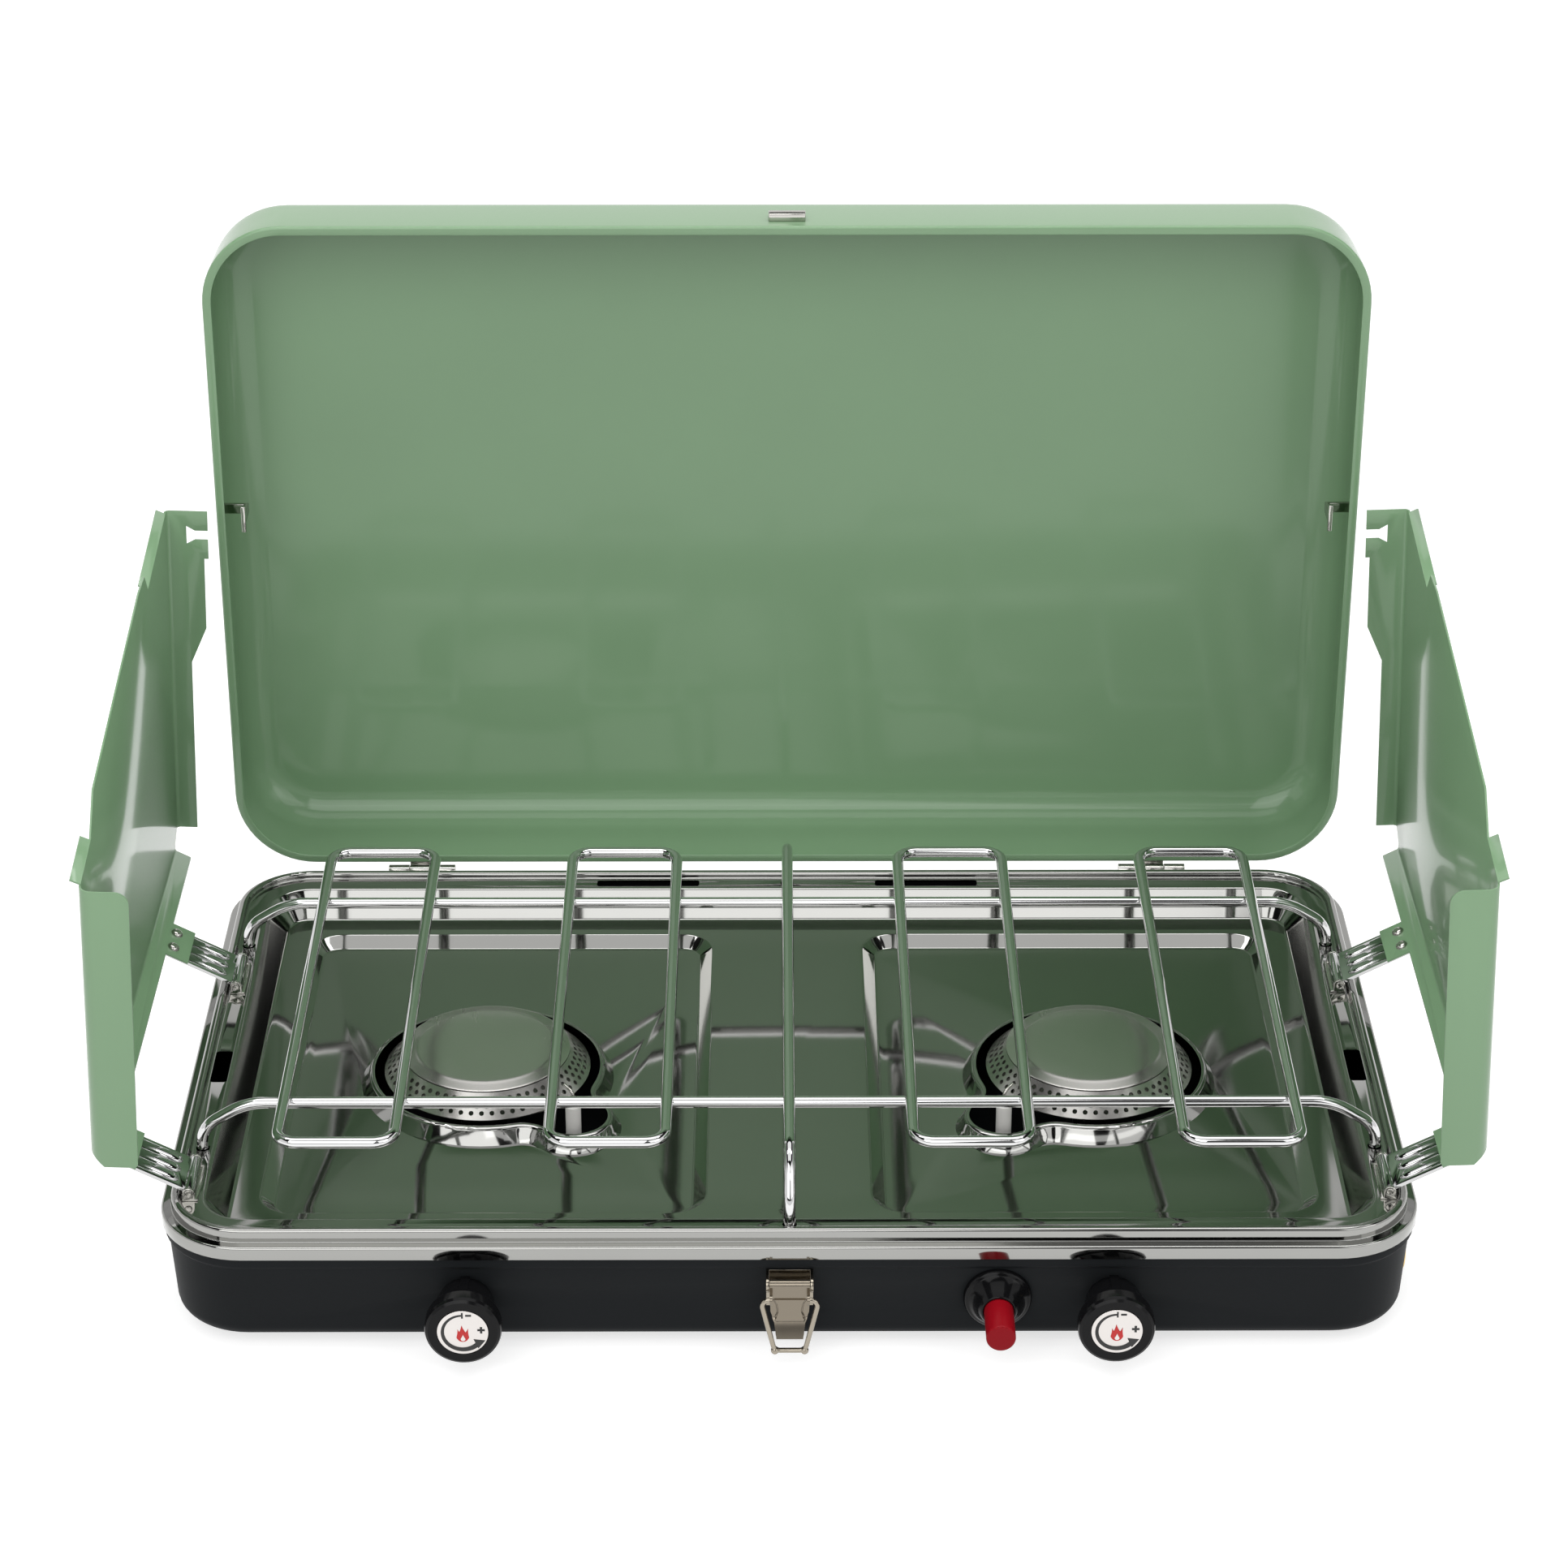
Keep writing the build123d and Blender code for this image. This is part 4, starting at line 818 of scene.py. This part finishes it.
@dataclass
class DrawLatch:
    """Draw latch: base, waisted lever with a kicked-out foot, and wire bail. Sizes in millimetres."""

    shop: Workshop
    plate_out: float = 2.4
    plate_top: float = 5.6
    plate_end: float = 14.6
    foot_end: float = 23.2
    foot_out: float = 4.2
    sheet: float = 1.0
    half: tuple[float, ...] = (8.3, 8.3, 8.2, 7.5, 6.5, 6.1, 5.7)
    pad: tuple[float, ...] = (6.7, 5.5, 5.1, 5.9, 6.4, 6.1, 5.7)
    pad_rise: float = 0.7
    pad_slope: float = 0.8
    pad_fade: float = 6.0
    foot_curl: float = 0.85
    grid: int = 56
    lever_sharp: float = 38.0
    keep: float = 6.4
    knuckle: float = 1.8
    wire: float = 1.1
    wire_edge: float = 0.2
    base_edge: float = 0.25
    corner_in: float = 6.3

    @staticmethod
    def _along(values: tuple[float, ...], share: float) -> float:
        """Read a row of values at a share of its length."""
        spot = share * (len(values) - 1)
        first = min(int(spot), len(values) - 2)
        part = spot - first
        part = part * part * (3 - 2 * part)
        return values[first] + (values[first + 1] - values[first]) * part

    def lever(self) -> None:
        """Shape the lever's plate and foot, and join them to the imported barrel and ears."""
        pivot = middle("latch_pin")
        bm = bmesh.new()
        bmesh.ops.create_grid(bm, x_segments=self.grid, y_segments=self.grid, size=1.0)
        for vert in bm.verts:
            across, down = vert.co.x, (1.0 - vert.co.y) / 2
            drop = self.plate_top + (self.foot_end - self.plate_top) * down
            x = across * self._along(self.half, down)
            kick = max(0.0, (drop - self.plate_end) / (self.foot_end - self.plate_end))
            inside = (self._along(self.pad, down) - abs(x)) / self.pad_slope + 0.5
            fade = max(0.0, 1.0 - self.pad_fade * kick)
            rise = min(1.0, max(0.0, inside)) * self.pad_rise * fade
            out = self.plate_out + rise + self.foot_out * kick ** self.foot_curl
            vert.co = pivot + Vector((x, -out, -drop)) * MM
        bmesh.ops.recalc_face_normals(bm, faces=bm.faces[:])
        bmesh.ops.solidify(bm, geom=bm.faces[:], thickness=self.sheet * MM)
        bmesh.ops.recalc_face_normals(bm, faces=bm.faces[:])
        absorb(bm, self.shop.part_of("latch_lever", pivot.z - self.keep * MM, above=True))
        # The lever takes the darker nickel, which is painted shade over the same plating as the base and
        # bail.
        self.shop.piece(
            bm, "latch_lever_waisted", "latch_lever", SHADED_LEVER_NICKEL, ("latch_lever",), self.lever_sharp
        )

    def bail(self) -> None:
        """Add the thickened lower corners to the bail."""
        low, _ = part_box("latch_bail")
        center = middle("latch_bail")
        bm = self.shop.bevelled("latch_bail", self.wire_edge)
        for side in (-1.0, 1.0):
            spot = (center.x + side * self.corner_in * MM, center.y, low[2] + self.wire * MM)
            bmesh.ops.create_uvsphere(
                bm, u_segments=24, v_segments=16, radius=self.knuckle * MM, matrix=Matrix.Translation(spot)
            )
        self.shop.piece(
            bm, "latch_bail_wire", "latch_bail", LATCH_NICKEL, ("latch_bail",), self.shop.edge_degrees
        )

    def build(self) -> None:
        """Build the latch."""
        self.shop.softened("latch_base", self.base_edge, finish=LATCH_NICKEL)
        self.shop.softened("latch_pin", self.wire_edge, finish=LATCH_NICKEL)
        self.lever()
        self.bail()


@dataclass
class Studio:
    """Camera, lamps, dark cards, floor and world. Sizes in metres and powers in watts.

    The floor's white lift grows from its near value to its far value between two distances from the stove.
    A lamp is a name, a place, a width and depth, and a power. A card is a name, a place, a half width and
    half height, and a tilt from lying flat.
    """

    location: Point = (-0.0068, -1.6371, 1.0255)
    pitch_down: float = 27.178
    yaw: float = -0.172
    focal_px: float = 5086.0
    frame_px: float = 1932.0
    floor_half: float = 12.0
    paper: float = 0.62
    paper_roughness: float = 0.8
    near_lift: float = 0.66
    far_lift: float = 0.8
    lift_from: float = 0.7
    lift_to: float = 2.6
    ambient: float = 0.42
    card_gray: float = 0.03
    aim: Point = (0.0, 0.0, 0.15)
    cards: tuple[tuple[str, Point, tuple[float, float], float], ...] = (
        ("ceiling_card", (0.0, 0.0, 3.0), (4.0, 3.4), 0.0),
        ("front_card", (0.0, -4.2, 2.0), (4.0, 1.1), 90.0),
    )
    lamps: tuple[tuple[str, Point, tuple[float, float], float], ...] = (
        ("key_lamp", (-0.7, -2.0, 1.7), (2.0, 2.0), 31.0),
        ("fill_lamp", (1.5, -1.6, 1.4), (1.8, 1.8), 14.5),
        ("top_lamp", (0.0, 0.2, 2.4), (2.4, 2.4), 22.0),
        ("strip_lamp", (0.0, 0.1, 2.0), (2.6, 0.3), 12.0),
    )

    def camera(self) -> None:
        """Set the camera to the photograph's view."""
        data = bpy.data.cameras.new("camera")
        data.sensor_fit = "HORIZONTAL"
        data.angle = 2 * math.atan(self.frame_px / 2 / self.focal_px)
        camera = bpy.data.objects.new("camera", data)
        turn = Matrix.Rotation(math.radians(self.yaw), 4, "Z")
        tilt = Matrix.Rotation(math.radians(90 - self.pitch_down), 4, "X")
        camera.matrix_world = Matrix.Translation(self.location) @ turn @ tilt
        bpy.context.collection.objects.link(camera)
        bpy.context.scene.camera = camera

    def lamp(self, name: str, at: Point, size: tuple[float, float], power: float) -> None:
        """Add a soft lamp that points at the stove.

        Args:
            name: lamp name.
            at: place in metres.
            size: width and depth in metres.
            power: power in watts.
        """
        data = bpy.data.lights.new(name, "AREA")
        data.shape = "RECTANGLE"
        data.size, data.size_y = size
        data.energy = power
        lamp = bpy.data.objects.new(name, data)
        turn = (Vector(self.aim) - Vector(at)).to_track_quat("-Z", "Y")
        lamp.matrix_world = Matrix.Translation(at) @ turn.to_matrix().to_4x4()
        bpy.context.collection.objects.link(lamp)

    def _seen(self, tree: bpy.types.NodeTree) -> bpy.types.NodeSocket:
        """Add a switch that is 1 for what the camera, mirrors and glass look at, and 0 for light.

        Args:
            tree: node tree of the floor or the world.

        Returns:
            The switch.
        """
        path = tree.nodes.new("ShaderNodeLightPath")
        mirror = tree.nodes.new("ShaderNodeMath")
        mirror.operation = "MAXIMUM"
        tree.links.new(path.outputs["Is Camera Ray"], mirror.inputs[0])
        tree.links.new(path.outputs["Is Glossy Ray"], mirror.inputs[1])
        clear = tree.nodes.new("ShaderNodeMath")
        clear.operation = "MAXIMUM"
        tree.links.new(mirror.outputs["Value"], clear.inputs[0])
        tree.links.new(path.outputs["Is Transmission Ray"], clear.inputs[1])
        return clear.outputs["Value"]

    def _paper_material(self) -> bpy.types.Material:
        """Pale paper that is seen as white, with the shadow kept.

        Returns:
            The floor's material.
        """
        mat = bpy.data.materials.new("floor_paper")
        mat.use_nodes = True
        tree = mat.node_tree
        shader = tree.nodes["Principled BSDF"]
        shader.inputs["Base Color"].default_value = (*[self.paper] * 3, 1.0)
        shader.inputs["Roughness"].default_value = self.paper_roughness
        shader.inputs["Specular IOR Level"].default_value = 0.0
        shader.inputs["Emission Color"].default_value = (1.0, 1.0, 1.0, 1.0)
        away = tree.nodes.new("ShaderNodeVectorMath")
        away.operation = "LENGTH"
        tree.links.new(tree.nodes.new("ShaderNodeTexCoord").outputs["Object"], away.inputs[0])
        lift = tree.nodes.new("ShaderNodeMapRange")
        lift.interpolation_type = "SMOOTHSTEP"
        lift.inputs["From Min"].default_value = self.lift_from
        lift.inputs["From Max"].default_value = self.lift_to
        lift.inputs["To Min"].default_value = self.near_lift
        lift.inputs["To Max"].default_value = self.far_lift
        tree.links.new(away.outputs["Value"], lift.inputs["Value"])
        shown = tree.nodes.new("ShaderNodeMath")
        shown.operation = "MULTIPLY"
        tree.links.new(lift.outputs["Result"], shown.inputs[0])
        tree.links.new(self._seen(tree), shown.inputs[1])
        tree.links.new(shown.outputs["Value"], shader.inputs["Emission Strength"])
        return mat

    def floor(self) -> None:
        """Lay the pale floor."""
        bm = bmesh.new()
        bmesh.ops.create_grid(bm, x_segments=2, y_segments=2, size=self.floor_half)
        mesh = bpy.data.meshes.new("floor")
        bm.to_mesh(mesh)
        bm.free()
        mesh.materials.append(self._paper_material())
        floor = bpy.data.objects.new("floor", mesh)
        bpy.context.collection.objects.link(floor)

    def card(self, name: str, at: Point, size: tuple[float, float], tilt: float) -> None:
        """Hang a dark card that only mirrors see, so that bright metal shows its edges.

        Args:
            name: card name.
            at: middle of the card in metres.
            size: half width and half height in metres.
            tilt: turn about X in degrees from lying flat.
        """
        bm = bmesh.new()
        turn = Matrix.Translation(at) @ Matrix.Rotation(math.radians(tilt), 4, "X")
        shape = turn @ Matrix.Diagonal((*size, 1.0, 1.0))
        bmesh.ops.create_grid(bm, x_segments=1, y_segments=1, size=1.0, matrix=shape)
        mesh = bpy.data.meshes.new(name)
        bm.to_mesh(mesh)
        bm.free()
        mat = bpy.data.materials.new(name)
        mat.use_nodes = True
        shader = mat.node_tree.nodes["Principled BSDF"]
        shader.inputs["Base Color"].default_value = (*[self.card_gray] * 3, 1.0)
        shader.inputs["Roughness"].default_value = 1.0
        shader.inputs["Specular IOR Level"].default_value = 0.0
        mesh.materials.append(mat)
        card = bpy.data.objects.new(name, mesh)
        card.visible_camera = False
        card.visible_diffuse = False
        card.visible_transmission = False
        card.visible_shadow = False
        bpy.context.collection.objects.link(card)

    def world(self) -> None:
        """Soft even light, white where the camera, mirrors or glass look past the floor."""
        world = bpy.data.worlds.new("studio")
        bpy.context.scene.world = world
        world.use_nodes = True
        tree = world.node_tree
        back = tree.nodes["Background"]
        back.inputs["Color"].default_value = (1.0, 1.0, 1.0, 1.0)
        strength = tree.nodes.new("ShaderNodeMapRange")
        strength.inputs["To Min"].default_value = self.ambient
        strength.inputs["To Max"].default_value = 1.0
        tree.links.new(self._seen(tree), strength.inputs["Value"])
        tree.links.new(strength.outputs["Result"], back.inputs["Strength"])

    def build(self) -> None:
        """Set up the whole studio."""
        bpy.context.scene.view_settings.view_transform = "Standard"
        self.camera()
        self.floor()
        self.world()
        for card in self.cards:
            self.card(*card)
        for lamp in self.lamps:
            self.lamp(*lamp)


def main() -> None:
    """Load the frame, dress it and set up the studio."""
    logging.basicConfig(level=logging.INFO, format="%(name)s: %(message)s")
    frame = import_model()
    shop = Workshop(frame)
    shop.dress_nodes()
    SheetWork(shop).build()
    for side in ("left", "right"):
        Knob(shop, side).build()
        Burner(shop, side).build()
    for end in ("front", "rear"):
        for side in ("left", "right"):
            ScreenArm(shop, f"{end}_arm_{side}").build()
    Igniter(shop).build()
    DrawLatch(shop).build()
    Studio().build()


if __name__ == "__main__":
    main()
